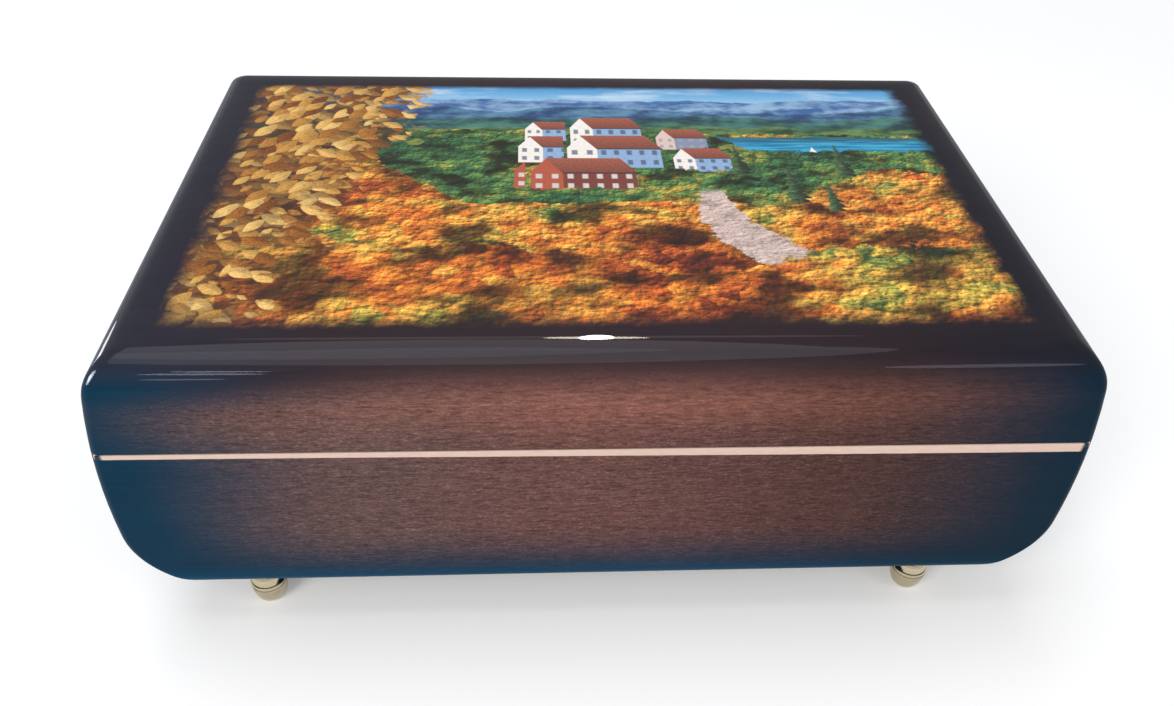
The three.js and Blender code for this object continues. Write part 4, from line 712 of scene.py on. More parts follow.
SHARP = math.radians(32)
INNER_CORNER = 0.5 * MM
EDGE_ROUND = 0.25 * MM


def linked(name, bm):
    """An object of the mesh, in the scene."""
    mesh = bpy.data.meshes.new(name)
    bm.to_mesh(mesh)
    bm.free()
    made = bpy.data.objects.new(name, mesh)
    bpy.context.scene.collection.objects.link(made)
    return made


def piece(name, bm, finish, body, replaced, sharp=SHARP):
    """Makes an object of the mesh: smooth where it's rounded, sharp where it isn't."""
    for face in bm.faces:
        face.smooth = True
    for edge in bm.edges:
        edge.smooth = len(edge.link_faces) == 2 and edge.calc_face_angle(0) < sharp
    made = linked(name, bm)
    made.data.materials.append(finishes[finish])
    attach(made, body)
    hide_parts(*replaced)
    return made


def rounded_ring(half_x, half_y, radius, z, segments):
    """The mesh of a closed loop of edges: a rectangle with round corners."""
    bm = bmesh.new()
    bmesh.ops.create_grid(bm, x_segments=1, y_segments=1, size=1)
    for vert in bm.verts:
        vert.co = (vert.co.x * half_x, vert.co.y * half_y, z)
    bmesh.ops.bevel(
        bm, geom=list(bm.verts), offset=radius, offset_type="OFFSET", affect="VERTICES",
        segments=segments, profile=0.5, material=-1, clamp_overlap=False)
    bmesh.ops.delete(bm, geom=list(bm.faces), context="FACES_ONLY")
    return bm


def loft(stops, segments=8):
    """A wall through rounded rectangles, each given as half width, half depth, radius and height.
    Gives the mesh, with its first and last loops open."""
    half_x, half_y, radius, z = stops[0]
    bm = rounded_ring(half_x, half_y, radius, z, segments)
    ring = list(bm.edges)
    for next_x, next_y, next_radius, next_z in stops[1:]:
        made = bmesh.ops.extrude_edge_only(bm, edges=ring)["geom"]
        ring = [item for item in made if isinstance(item, bmesh.types.BMEdge)]
        for vert in [item for item in made if isinstance(item, bmesh.types.BMVert)]:
            old_x = half_x - radius
            old_y = half_y - radius
            out = Vector((abs(vert.co.x) - old_x, abs(vert.co.y) - old_y)) / radius
            vert.co = (
                math.copysign(next_x - next_radius + out.x * next_radius, vert.co.x),
                math.copysign(next_y - next_radius + out.y * next_radius, vert.co.y),
                next_z)
        half_x, half_y, radius, z = next_x, next_y, next_radius, next_z
    return bm, ring


def outward(bm):
    """The mesh with doubled points merged and its faces turned outwards."""
    bmesh.ops.remove_doubles(bm, verts=bm.verts, dist=1e-7)
    bmesh.ops.recalc_face_normals(bm, faces=bm.faces)
    return bm


def closed_loft(stops):
    """A ring through rounded rectangles, closed from the last one to the first."""
    bm, last = loft(stops)
    first = [edge for edge in bm.edges if edge.is_boundary and edge not in last]
    bmesh.ops.bridge_loops(bm, edges=first + last)
    return outward(bm)


class CaseForm:
    """The outside of the case: half width and half depth at a height over the underside."""

    def __init__(self):
        sizes = case_sizes()
        self.height = TOP - UNDERSIDE
        self.top = sizes.top_rounding
        self.foot = sizes.end_rounding
        self.face = sizes.face_rounding
        self.bulge = sizes.bulge_height
        swell = base_high.x - sizes.shoulder
        rise = self.height - self.top - self.bulge
        self.arc = (swell ** 2 + rise ** 2) / (2 * swell)
        self.arc_x = sizes.shoulder + swell - self.arc

    def tangent(self, radius, centre):
        reach = self.arc - radius
        rise = centre - self.bulge
        middle = self.arc_x + math.sqrt(reach ** 2 - rise ** 2)
        return middle, self.bulge + rise * self.arc / reach

    def half_width(self, height):
        high_x, high_meets = self.tangent(self.top, self.height - self.top)
        low_x, low_meets = self.tangent(self.foot, self.foot)
        if height > high_meets:
            up = height - self.height + self.top
            return high_x + math.sqrt(max(self.top ** 2 - up ** 2, 0))
        if height < low_meets:
            return low_x + math.sqrt(max(self.foot ** 2 - (height - self.foot) ** 2, 0))
        return self.arc_x + math.sqrt(self.arc ** 2 - (height - self.bulge) ** 2)

    def half_depth(self, height):
        over = height - self.height + self.top
        if over > 0:
            return HALF_DEPTH - self.top + math.sqrt(max(self.top ** 2 - over ** 2, 0))
        under = self.face - height
        if under > 0:
            return HALF_DEPTH - self.face + math.sqrt(max(self.face ** 2 - under ** 2, 0))
        return HALF_DEPTH

    def heights(self):
        """Heights of the rings, close together on the roundings."""
        found = [self.face * (1 - math.cos(step * math.pi / 16)) for step in range(9)]
        found += [self.foot * (1 - math.cos(step * math.pi / 40)) for step in range(8, 21)]
        shoulder = self.height - self.top
        found += [self.foot + (shoulder - self.foot) * step / 8 for step in range(1, 9)]
        found += [shoulder + self.top * math.sin(step * math.pi / 32) for step in range(1, 17)]
        return found

    def stops(self, low, high):
        """Rings of the outside between two places over the table."""
        low -= UNDERSIDE
        high -= UNDERSIDE
        heights = [h for h in self.heights() if low + 2e-4 < h < high - 2e-4]
        corner = case_sizes().corner
        return [
            (self.half_width(h), self.half_depth(h), corner, UNDERSIDE + h)
            for h in [low, *heights, high]]


def eased(inner_x, inner_y, z, outer_x, outer_y):
    """The rim's flat top with its two edges eased, from outside to inside."""
    corner = case_sizes().corner
    return [
        (outer_x, outer_y, corner, z - EDGE_ROUND),
        (outer_x - EDGE_ROUND * 0.3, outer_y - EDGE_ROUND * 0.3, corner, z - EDGE_ROUND * 0.3),
        (outer_x - EDGE_ROUND, outer_y - EDGE_ROUND, corner, z),
        (inner_x + EDGE_ROUND, inner_y + EDGE_ROUND, INNER_CORNER + EDGE_ROUND, z),
        (inner_x, inner_y, INNER_CORNER, z - EDGE_ROUND),
    ]


def carve(target, tools):
    """Cuts the tools out of the target and takes them away."""
    for tool in tools:
        modifier = target.modifiers.new("Cut", "BOOLEAN")
        modifier.operation = "DIFFERENCE"
        modifier.solver = "EXACT"
        modifier.object = tool
    graph = bpy.context.evaluated_depsgraph_get()
    cut = bpy.data.meshes.new_from_object(target.evaluated_get(graph))
    target.modifiers.clear()
    old = target.data
    target.data = cut
    bpy.data.meshes.remove(old)
    for tool in tools:
        bpy.data.objects.remove(tool)


def even_normals(made):
    """Keeps the flat faces flat in reflections, next to their rounded edges."""
    modifier = made.modifiers.new("Even normals", "WEIGHTED_NORMAL")
    modifier.mode = "FACE_AREA"
    modifier.weight = 80
    modifier.keep_sharp = True


def line_inside(made, low, high):
    """Gives the faces of the hollow, between two heights, the plain wood of the inside."""
    sizes = case_sizes()
    made.data.materials.append(finishes["inner_wood"])
    for face in made.data.polygons:
        x, y, z = face.center
        within = abs(x) < sizes.inner_x + 0.01 * MM and abs(y) < sizes.inner_y + 0.01 * MM
        looks_out = face.normal.x * x + face.normal.y * y > 0.1 * MM
        if within and low < z < high and not looks_out:
            face.material_index = 1


def box_mesh(low, high):
    """A box between two corners."""
    bm = bmesh.new()
    bmesh.ops.create_cube(bm, size=1)
    low, high = Vector(low), Vector(high)
    bmesh.ops.scale(bm, vec=high - low, verts=bm.verts)
    bmesh.ops.translate(bm, vec=(low + high) / 2, verts=bm.verts)
    return bm


def turned_mesh(profile, steps):
    """A turned piece about Z, from points of radius and height that start and end on the axis."""
    bm = bmesh.new()
    verts = [bm.verts.new((radius, 0, height)) for radius, height in profile]
    edges = [bm.edges.new(pair) for pair in zip(verts, verts[1:])]
    bmesh.ops.spin(
        bm, geom=verts + edges, cent=(0, 0, 0), axis=(0, 0, 1), angle=2 * math.pi,
        steps=steps, use_merge=True)
    return outward(bm)


def arc_points(centre, radius, start, end, steps):
    """Points of radius and height along an arc of a turned profile, angles in degrees."""
    angles = [math.radians(start + (end - start) * i / steps) for i in range(steps + 1)]
    return [(centre[0] + radius * math.cos(a), centre[1] + radius * math.sin(a)) for a in angles]


def hinge_cutters(low, high):
    """Room for both hinges in the wood: knuckles, and a seat between two heights."""
    tools = []
    for side in ("left", "right"):
        leaf_low, leaf_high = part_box(f"case_hinge_leaf_{side}")
        margin = 0.25 * MM
        x0, x1 = leaf_low.x - margin, leaf_high.x + margin
        bm = bmesh.new()
        bmesh.ops.create_cone(
            bm, cap_ends=True, segments=48, radius1=KNUCKLE + 0.3 * MM, radius2=KNUCKLE + 0.3 * MM,
            depth=x1 - x0)
        bmesh.ops.rotate(bm, matrix=Matrix.Rotation(math.pi / 2, 3, "Y"), verts=bm.verts)
        bmesh.ops.translate(bm, vec=((x0 + x1) / 2, HALF_DEPTH, HINGE_Z), verts=bm.verts)
        tools.append(linked("knuckle_room", bm))
        seat = box_mesh((x0, leaf_low.y - margin, low), (x1, HALF_DEPTH + MM, high))
        tools.append(linked("leaf_seat", seat))
    return tools


def rod_groove(low):
    """Room in the back wall for the stop rod, from a height up."""
    rod_low, rod_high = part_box("stop_rod")
    wall = case_sizes().inner_y
    play, depth = 0.3 * MM, 2.5 * MM
    return linked("rod_groove", box_mesh(
        (rod_low.x - play, wall - MM, low), (rod_high.x + play, wall + depth, SEAM + MM)))


def make_base():
    sizes = case_sizes()
    outside = CaseForm().stops(UNDERSIDE, band_low.z)
    rim = (sizes.inner_x, sizes.inner_y)
    rebate = (board_high.x + 0.15 * MM, board_high.y + 0.15 * MM)
    opening = (sizes.opening_x, sizes.opening_y)
    stops = outside + [
        (*rim, INNER_CORNER, band_low.z),
        (*rim, INNER_CORNER, sizes.floor_top),
        (*opening, INNER_CORNER, sizes.floor_top),
        (*opening, INNER_CORNER, board_high.z),
        (*rebate, INNER_CORNER, board_high.z),
        (*rebate, INNER_CORNER, UNDERSIDE),
    ]
    base = piece("case_base", closed_loft(stops), "lacquered_wood", "case", ["base_body"])
    groove = rod_groove(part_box("stop_rod")[0].z - 3 * MM)
    carve(base, hinge_cutters(band_low.z, SEAM + MM) + [groove])
    line_inside(base, UNDERSIDE + 0.01 * MM, SEAM)
    even_normals(base)


def make_rim():
    sizes = case_sizes()
    outside = CaseForm().stops(band_low.z, SEAM - EDGE_ROUND)
    outer_x, outer_y = outside[-1][:2]
    stops = outside[:-1] + eased(sizes.inner_x, sizes.inner_y, SEAM, outer_x, outer_y)
    stops.append((sizes.inner_x, sizes.inner_y, INNER_CORNER, band_low.z))
    rim = piece("seam_rim", closed_loft(stops), "pale_wood", "case", ["rim_banding"])
    low = band_low.z - MM
    carve(rim, hinge_cutters(low, SEAM + MM) + [rod_groove(low)])
    even_normals(rim)


def make_lid():
    sizes = case_sizes()
    low = SEAM + sizes.lid_gap
    outside = CaseForm().stops(low, TOP)
    outer_x, outer_y = outside[0][:2]
    bottom = [
        (x, y, radius, 2 * low - z)
        for x, y, radius, z in reversed(eased(sizes.inner_x, sizes.inner_y, low, outer_x, outer_y))]
    recess = (picture_high.x, picture_high.y)
    stops = [(sizes.inner_x, sizes.inner_y, INNER_CORNER, sizes.lid_ceiling)] + bottom + outside[1:]
    stops += [(*recess, 0.02 * MM, TOP), (*recess, 0.02 * MM, picture_low.z)]
    bm, _ = loft(stops)
    for loop_z in (sizes.lid_ceiling, picture_low.z):
        loop = [
            edge for edge in bm.edges
            if edge.is_boundary and abs(edge.verts[0].co.z - loop_z) < 1e-6]
        bmesh.ops.edgeloop_fill(bm, edges=loop)
    lid = piece("lid_wood", outward(bm), "lacquered_wood", "lid", ["lid_shell"])
    carve(lid, hinge_cutters(low - MM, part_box("lid_hinge_leaf_left")[0].z + MM))
    line_inside(lid, low + 0.01 * MM, sizes.lid_ceiling + 0.01 * MM)
    even_normals(lid)

    panel = box_mesh(picture_low, picture_high)
    piece("picture_panel", panel, "printed_panel", "lid", ["lid_picture"])


# Feet

def make_feet():
    """Turned brass feet: tread, bowl with a bright bead, waist and flange, on a peg."""
    tread, bowl, bead, waist, peg = 2.2 * MM, 4.3 * MM, 0.45 * MM, 1.75 * MM, 1.25 * MM
    for end in ("front", "rear"):
        for side in ("left", "right"):
            node = f"foot_{end}_{side}"
            low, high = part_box(node)
            radius = (high.x - low.x) / 2
            profile = [(0, 0), (tread - 0.3 * MM, 0), (tread, 0.1 * MM)]
            profile += [
                (tread + (radius - tread) * math.sin(a), 0.1 * MM + bowl * (1 - math.cos(a)))
                for a in (math.radians(degrees) for degrees in range(8, 91, 8))]
            profile += [(radius - 0.05 * MM, 4.5 * MM)]
            profile += arc_points((radius - bead, 4.5 * MM + bead), bead, -60, 90, 8)
            profile += [(radius - 0.8 * MM, 5.3 * MM), (radius - 1.0 * MM, 5.5 * MM)]
            profile += arc_points((radius + 0.6 * MM, 7.0 * MM), waist, 236, 124, 10)
            profile += [(radius - 0.3 * MM, 8.6 * MM), (radius, 8.9 * MM)]
            profile += [(radius, UNDERSIDE - 0.2 * MM), (radius - 0.2 * MM, UNDERSIDE)]
            profile += [(peg, UNDERSIDE), (peg, high.z), (0, high.z)]
            bm = turned_mesh(profile, 64)
            middle = ((low.x + high.x) / 2, (low.y + high.y) / 2, 0)
            bmesh.ops.translate(bm, vec=middle, verts=bm.verts)
            piece(f"brass_foot_{end}_{side}", bm, "foot_brass", "case", [node])


# Pieces inside the case

def refined(node, finish, body, edge=0.12 * MM, segments=2):
    """A finer copy of a fixed part: flat faces made whole again and its hard edges rounded."""
    bm = bmesh.new()
    bm.from_mesh(frame["nodes"][node].data)
    bmesh.ops.remove_doubles(bm, verts=bm.verts, dist=2e-6)
    bmesh.ops.dissolve_limit(
        bm, angle_limit=math.radians(1), use_dissolve_boundaries=False, verts=bm.verts,
        edges=bm.edges, delimit=set())
    if edge:
        hard = [edge for edge in bm.edges if edge.calc_face_angle(0) > math.radians(40)]
        bmesh.ops.bevel(
            bm, geom=hard, offset=edge, offset_type="OFFSET", affect="EDGES", segments=segments,
            profile=0.5, material=-1, clamp_overlap=True)
    made = piece(f"fine_{node}", bm, finish, body, [node])
    even_normals(made)
    return made


def pad_grid(low, high, corner, cells, drop):
    """A closed cushion of two grids between two corners, drawn in at its round corners."""
    size = high - low
    count = (cells, max(2, round(cells * size.y / size.x)))
    bm = bmesh.new()
    bmesh.ops.create_grid(bm, x_segments=count[0], y_segments=count[1], size=0.5)
    for vert in bm.verts:
        across = Vector((vert.co.x * size.x, vert.co.y * size.y))
        over_x = abs(across.x) - (size.x / 2 - corner)
        over_y = abs(across.y) - (size.y / 2 - corner)
        if over_x > 0 and over_y > 0:
            reach = max(over_x, over_y) / math.hypot(over_x, over_y)
            across.x = math.copysign(size.x / 2 - corner + over_x * reach, across.x)
            across.y = math.copysign(size.y / 2 - corner + over_y * reach, across.y)
        vert.co = ((low.x + high.x) / 2 + across.x, (low.y + high.y) / 2 + across.y, 0)
    rim = [edge for edge in bm.edges if edge.is_boundary]
    top = list(bm.verts)
    bmesh.ops.duplicate(bm, geom=list(bm.verts) + list(bm.edges) + list(bm.faces))
    bmesh.ops.translate(bm, vec=(0, 0, drop), verts=top)
    under = [edge for edge in bm.edges if edge.is_boundary and edge not in rim]
    bmesh.ops.bridge_loops(bm, edges=rim + under)
    return outward(bm)


def make_pad(node, body, facing):
    """A velvet pad: cloth is blown up between its glued face and the outline of its board."""
    low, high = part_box(node)
    thick = high.z - low.z
    cells, last = ((84, 24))
    bm = pad_grid(low, high, 4 * MM, cells, thick * 0.45)
    cloth = linked("pad_cloth", bm)
    mesh = cloth.data
    pins = cloth.vertex_groups.new(name="glued")
    pins.add([v.index for v in mesh.vertices if v.co.z < thick * 0.2], 1, "REPLACE")
    modifier = cloth.modifiers.new("Cloth", "CLOTH")
    for name, value in {
        "vertex_group_mass": pins.name, "quality": 6, "mass": 0.2, "tension_stiffness": 12,
        "compression_stiffness": 12, "shear_stiffness": 4, "bending_stiffness": 0.4,
        "shrink_min": -0.012, "use_pressure": True, "uniform_pressure_force": 9,
    }.items():
        setattr(modifier.settings, name, value)
    modifier.settings.effector_weights.gravity = 0
    modifier.collision_settings.use_collision = False
    scene = bpy.context.scene
    modifier.point_cache.frame_end = last
    for step in range(1, last + 1):
        scene.frame_set(step)
    graph = bpy.context.evaluated_depsgraph_get()
    settled = bpy.data.meshes.new_from_object(cloth.evaluated_get(graph))
    bpy.data.objects.remove(cloth)
    bpy.data.meshes.remove(mesh)
    scene.frame_set(1)
    bm = bmesh.new()
    bm.from_mesh(settled)
    bpy.data.meshes.remove(settled)
    reach = max(vert.co.z for vert in bm.verts)
    for vert in bm.verts:
        height = max(vert.co.z, 0) * min(1, thick / reach)
        vert.co.z = low.z + height if facing > 0 else high.z - height
        vert.co.x = min(max(vert.co.x, low.x), high.x)
        vert.co.y = min(max(vert.co.y, low.y), high.y)
    pad = piece(f"velvet_{node}", outward(bm), "velvet", body, [node], sharp=math.radians(75))


def make_compartments():
    for node, finish, edge, segments in [
        ("bottom_board", "fibreboard", 0.2, 2),
        ("partition_wall", "plain_wood", 0.3, 2),
        ("glass_ledge_front", "plain_wood", 0.3, 2),
        ("glass_ledge_rear", "plain_wood", 0.3, 2),
        ("tray_floor", "fibreboard", 0.2, 2),
        ("tray_lining", "velvet", 0.3, 3),
        ("glass_cover", "clear_glass", 0.25, 2),
    ]:
        refined(node, finish, "case", edge * MM, segments)
    make_pad("tray_pad", "case", 1)
    make_pad("lid_pad", "lid", -1)


def slotted_screw(node, finish, body, head, countersunk, shank):
    """A turned screw with a slot across its head, whose head is on its node's outer side."""
    low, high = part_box(node)
    radius = (high.x - low.x) / 2
    length = high.z - low.z
    soft = 0.12 * MM
    if countersunk:
        profile = [(0, 0), (shank * 0.3, 0), (shank, shank * 1.2), (shank, length - head)]
        profile += [(radius, length - soft), (radius - soft, length), (0, length)]
    else:
        profile = [(0, 0), (shank * 0.6, 0), (shank, shank * 0.4), (shank, length - head)]
        profile += [(radius - soft, length - head), (radius, length - head + soft)]
        profile += [(radius, length - soft * 2.5), (radius - soft * 2.5, length), (0, length)]
    bm = turned_mesh(profile, 40)
    middle = Vector(((low.x + high.x) / 2, (low.y + high.y) / 2, low.z))
    if points_down(node):
        bmesh.ops.rotate(bm, matrix=Matrix.Rotation(math.pi, 3, "X"), verts=bm.verts)
        middle.z = high.z
    bmesh.ops.translate(bm, vec=middle, verts=bm.verts)
    screw = piece(f"fine_{node}", bm, finish, body, [node])
    face = low.z if points_down(node) else high.z
    half = Vector((radius * 1.3, radius * 0.13, radius * 0.32))
    turn = random.Random(node).uniform(0, math.pi)
    slot = box_mesh(-half, half)
    bmesh.ops.rotate(slot, matrix=Matrix.Rotation(turn, 3, "Z"), verts=slot.verts)
    bmesh.ops.translate(slot, vec=(middle.x, middle.y, face), verts=slot.verts)
    carve(screw, [linked("screw_slot", slot)])
    even_normals(screw)


def points_down(node):
    """Whether a screw's head is its lower end."""
    return node.startswith(("lid_hinge", "mounting"))


def make_hinges():
    for side in ("left", "right"):
        refined(f"case_hinge_leaf_{side}", "brass", "case", 0.1 * MM)
        refined(f"lid_hinge_leaf_{side}", "brass", "lid", 0.1 * MM)
        refined(f"hinge_pin_{side}", "steel", "case", 0.1 * MM)
        for end in ("a", "b"):
            for body in ("case", "lid"):
                node = f"{body}_hinge_screw_{side}_{end}"
                slotted_screw(node, "brass", body, 1.0 * MM, True, 0.6 * MM)


def make_cylinder():
    """The brass cylinder with a row of fine steel pins for each tooth of the comb."""
    pin_height, pin_radius, teeth = 0.9 * MM, 0.17 * MM, 18
    low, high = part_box("pin_cylinder")
    comb_low, comb_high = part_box("comb")
    outer = (high.z - low.z) / 2
    drum = outer - pin_height
    length = high.y - low.y
    soft = 0.3 * MM
    profile = [(0, 0), (drum - soft, 0), (drum, soft), (drum, length - soft)]
    profile += [(drum - soft, length), (0, length)]
    axis = Vector(((low.x + high.x) / 2, low.y, (low.z + high.z) / 2))
    lay = Matrix.Rotation(-math.pi / 2, 3, "X")
    bm = turned_mesh(profile, 96)
    bmesh.ops.rotate(bm, matrix=lay, verts=bm.verts)
    bmesh.ops.translate(bm, vec=axis, verts=bm.verts)
    drum_piece = piece("fine_drum", bm, "wheel_brass", "cylinder", ["pin_cylinder"])
    even_normals(drum_piece)

    chance = random.Random(18)
    pins = bmesh.new()
    pitch = (comb_high.y - comb_low.y) / teeth
    for tooth in range(teeth):
        along = comb_low.y + pitch * (tooth + 0.5)
        turn = chance.uniform(0, 0.5)
        while turn < 2 * math.pi - 0.15:
            made = bmesh.ops.create_cone(
                pins, cap_ends=True, segments=6, radius1=pin_radius, radius2=pin_radius * 0.7,
                depth=pin_height * 1.8)["verts"]
            bmesh.ops.translate(pins, vec=(0, 0, drum + pin_height * 0.1), verts=made)
            bmesh.ops.rotate(pins, matrix=Matrix.Rotation(turn, 3, "Y"), verts=made)
            bmesh.ops.translate(pins, vec=(axis.x, along, axis.z), verts=made)
            turn += chance.choice((0.26, 0.26, 0.39, 0.52, 0.79))
    piece("fine_pins", pins, "steel", "cylinder", ["pin_cylinder"])


def make_movement():
    for node in ("bedplate", "comb_base", "barrel_bridge", "rear_bracket", "governor_frame"):
        refined(node, "zinc", "case", 0.2 * MM)
    refined("comb", "comb_steel", "case", 0.05 * MM, 1)
    refined("ratchet_click", "steel", "case", 0.1 * MM)
    for number in (1, 2):
        slotted_screw(f"comb_screw_{number}", "steel", "case", 1.4 * MM, False, 1.0 * MM)
    for number in (1, 2, 3):
        slotted_screw(f"mounting_screw_{number}", "steel", "case", 1.25 * MM, False, 1.3 * MM)
    refined("spring_barrel", "wheel_brass", "barrel", 0.06 * MM, 1)
    refined("barrel_cover", "wheel_brass", "barrel", 0.06 * MM, 1)
    refined("mainspring", "dull_steel", "barrel", 0)
    make_cylinder()
    for node, finish, body, edge, segments in [
        ("cylinder_arbor", "steel", "cylinder", 0.1, 2),
        ("drive_pinion", "wheel_brass", "cylinder", 0.05, 1),
        ("great_wheel", "wheel_brass", "cylinder", 0.05, 1),
        ("governor_wheel", "wheel_brass", "governor", 0.04, 1),
        ("worm_shaft", "steel", "fan", 0, 2),
        ("air_brake", "steel", "fan", 0.06, 1),
    ]:
        refined(node, finish, body, edge * MM, segments)


def make_winding():
    refined("winding_key", "brass", "winder", 0.35 * MM, 3)
    refined("winding_arbor", "steel", "winder", 0.15 * MM)
    refined("ratchet_wheel", "steel", "winder", 0.05 * MM, 1)
    refined("stop_rod", "steel", "stop")


# Stage

def make_camera(settings):
    """Camera at the photograph's place and angle."""
    forward = Vector((
        math.sin(settings.yaw) * math.cos(settings.pitch),
        math.cos(settings.yaw) * math.cos(settings.pitch),
        -math.sin(settings.pitch)))
    right = forward.cross(Vector((0, 0, 1))).normalized()
    up = right.cross(forward)
    roll = settings.roll
    turned_right = math.cos(roll) * right + math.sin(roll) * up
    turned_up = math.cos(roll) * up - math.sin(roll) * right
    data = bpy.data.cameras.new("camera")
    data.sensor_width = 36
    data.lens = settings.focal_pixels / settings.image_width * data.sensor_width
    data.clip_start = 0.01
    camera = bpy.data.objects.new("camera", data)
    axes = Matrix((turned_right, turned_up, -forward)).transposed()
    camera.matrix_world = Matrix.Translation(settings.place) @ axes.to_4x4()
    bpy.context.scene.collection.objects.link(camera)
    bpy.context.scene.camera = camera
    bpy.context.view_layer.update()


def area_light(name, place, target, size, watts, colour=(1, 1, 1), mirrored=True):
    data = bpy.data.lights.new(name, "AREA")
    data.shape = "ELLIPSE"
    data.size, data.size_y = size
    data.energy = watts
    data.color = colour
    light = bpy.data.objects.new(name, data)
    light.location = place
    light.rotation_mode = "QUATERNION"
    light.rotation_quaternion = (Vector(target) - Vector(place)).to_track_quat("-Z", "Y")
    light.visible_camera = False
    light.visible_glossy = mirrored
    bpy.context.scene.collection.objects.link(light)
    return light


def shine_on_lid(lamp):
    """Let a lamp only mirror in the lid's lacquered wood, and add no light to anything."""
    lamp.visible_diffuse = False
    lid = bpy.data.collections.get("lid_alone") or bpy.data.collections.new("lid_alone")
    if not lid.objects:
        lid.objects.link(bpy.data.objects["lid_wood"])
    lamp.light_linking.receiver_collection = lid


def lamp_for_highlight(name, spot, normal, away, size, brightness, colour=(1, 1, 1), cone=None):
    """A small lamp at the place from which it shines back to the camera off a spot.
    With a cone, in degrees, it reaches only what lies about the spot."""
    spot, normal = Vector(spot), Vector(normal).normalized()
    look = (spot - bpy.context.scene.camera.matrix_world.translation).normalized()
    bounce = look - 2 * look.dot(normal) * normal
    watts = brightness * math.pi * size[0] * size[1]
    lamp = area_light(name, spot + bounce * away, spot, size, watts, colour)
    shine_on_lid(lamp)
    if cone:
        half = math.radians(cone) / 2
        lamp.data.spread = 2 * half
        lamp.data.energy *= (math.tan(half) - half) / math.tan(half)


def make_lights():
    middle = (0, 0, 30 * MM)
    area_light("overhead", (-0.2, 0.15, 1.2), middle, (0.9, 0.7), 5.5, (0.90, 0.94, 1.0))
    area_light("key", (-0.6, -0.75, 0.7), middle, (0.6, 0.5), 5.5, (1, 0.97, 0.94), mirrored=False)
    area_light("fill", (0.8, -0.5, 0.6), middle, (0.5, 0.5), 1.6, mirrored=False)
    shine_on_lid(area_light(
        "sheen", (-0.15, 0.17, 1.3), (-0.15, 0.17, 0), (1.35, 1.75), 32, (0.86, 0.92, 1)))

    # Highlights along the rounding of the lid: front edge, left streaks, left corner, right edge
    radius = case_sizes().top_rounding
    edge = TOP - radius
    for name, x, degrees, away, size, brightness, colour in [
        ("edge_lamp", -2, 3.5, 1.5, (0.06, 0.12), 250, (1, 0.92, 0.82)),
        ("edge_tails", -2, 3.5, 1.5, (0.18, 0.05), 70, (1, 0.86, 0.70)),
        ("edge_line", -10, 3.2, 1.5, (1.1, 0.05), 3.5, (1, 0.80, 0.66)),
        ("streak_high", -62, 44.5, 1.2, (0.13, 0.06), 26, (0.82, 0.82, 1)),
        ("streak_middle", -65, 47.5, 1.2, (0.16, 0.09), 22, (0.82, 0.82, 1)),
        ("streak_low", -68, 54, 1.2, (0.11, 0.07), 15, (0.85, 0.82, 1)),
        ("streak_right", 62, 45, 1.2, (0.26, 0.16), 9, (0.85, 0.75, 1)),
    ]:
        turn = math.radians(degrees)
        normal = Vector((0, -math.sin(turn), math.cos(turn)))
        spot = Vector((x * MM, radius - HALF_DEPTH, edge)) + radius * normal
        lamp_for_highlight(name, spot, normal, away, size, brightness, colour)
    # The corner lamps stand near in a cone, one close by and one below the lid's top, so that
    # the flat of the lid doesn't mirror them
    for name, spot, normal, away, size, brightness, cone in [
        ("corner_lamp", (-82.2, -52.4, 64.8), (-0.34, -0.60, 0.72), 0.03, (0.019, 0.019), 160, 34),
        ("corner_lamp_low", (-81.8, -48.2, 66.2), (-0.58, -0.03, 0.815), 0.3, (0.045, 0.05),
         16, 22),
    ]:
        lamp_for_highlight(
            name, Vector(spot) * MM, normal, away, size, brightness, (0.95, 0.97, 1), cone)
    steep = math.radians(72)
    end_rounding_middle = 77.8 * MM
    normal = Vector((math.sin(steep), 0, math.cos(steep)))
    spot = Vector((end_rounding_middle, -20 * MM, edge)) + radius * normal
    lamp_for_highlight("edge_right", spot, normal, 1.2, (0.14, 0.14), 14, (1, 0.74, 0.36))


def shown_rays(shader):
    """1 for rays of the camera and for mirrored and refracted ones."""
    rays = [shader.node("ShaderNodeLightPath", output=name)
            for name in ("Is Camera Ray", "Is Glossy Ray", "Is Transmission Ray")]
    return rays[0].most(rays[1]).most(rays[2])


def make_floor(settings):
    """A pale floor that glows a little, so that it shows white, and more towards the horizon."""
    near, far = 300, 1500
    shader = Shader("floor")
    grey = shader.noise(shader.point(0.01, 0.01), 2)
    colour = shader.shade([settings.floor_tone] * 3, 0.99 + grey * 0.02)
    lit = shader.node("ShaderNodeBsdfDiffuse", {"Color": colour})
    x, y, _ = shader.place()
    away = (x * x + y * y) ** 0.5
    strength = shown_rays(shader) * (0.17 + away.rise(near, far) * 0.83)
    glow = shader.node("ShaderNodeEmission", {"Color": (1, 1, 1), "Strength": strength})
    shader.finish(shader.node("ShaderNodeAddShader", {0: lit, 1: glow}))
    bm = bmesh.new()
    bmesh.ops.create_grid(bm, x_segments=1, y_segments=1, size=6)
    floor = linked("floor", bm)
    floor.data.materials.append(shader.material)


def make_world():
    """A plain grey light all round, which shows as white."""
    world = bpy.data.worlds.new("studio")
    bpy.context.scene.world = world
    shader = Shader("studio", world)
    strength = 0.45 + shown_rays(shader) * 0.55
    background = shader.node("ShaderNodeBackground", {"Color": (1, 1, 1), "Strength": strength})
    shader.finish(background, "ShaderNodeOutputWorld")


# Operators

class MUSICBOX_OT_finishes(bpy.types.Operator):
    """Make every finish of the box"""

    bl_idname = "music_box.finishes"
    bl_label = "Finishes"

    def execute(self, context):
        make_finishes()
        return {"FINISHED"}


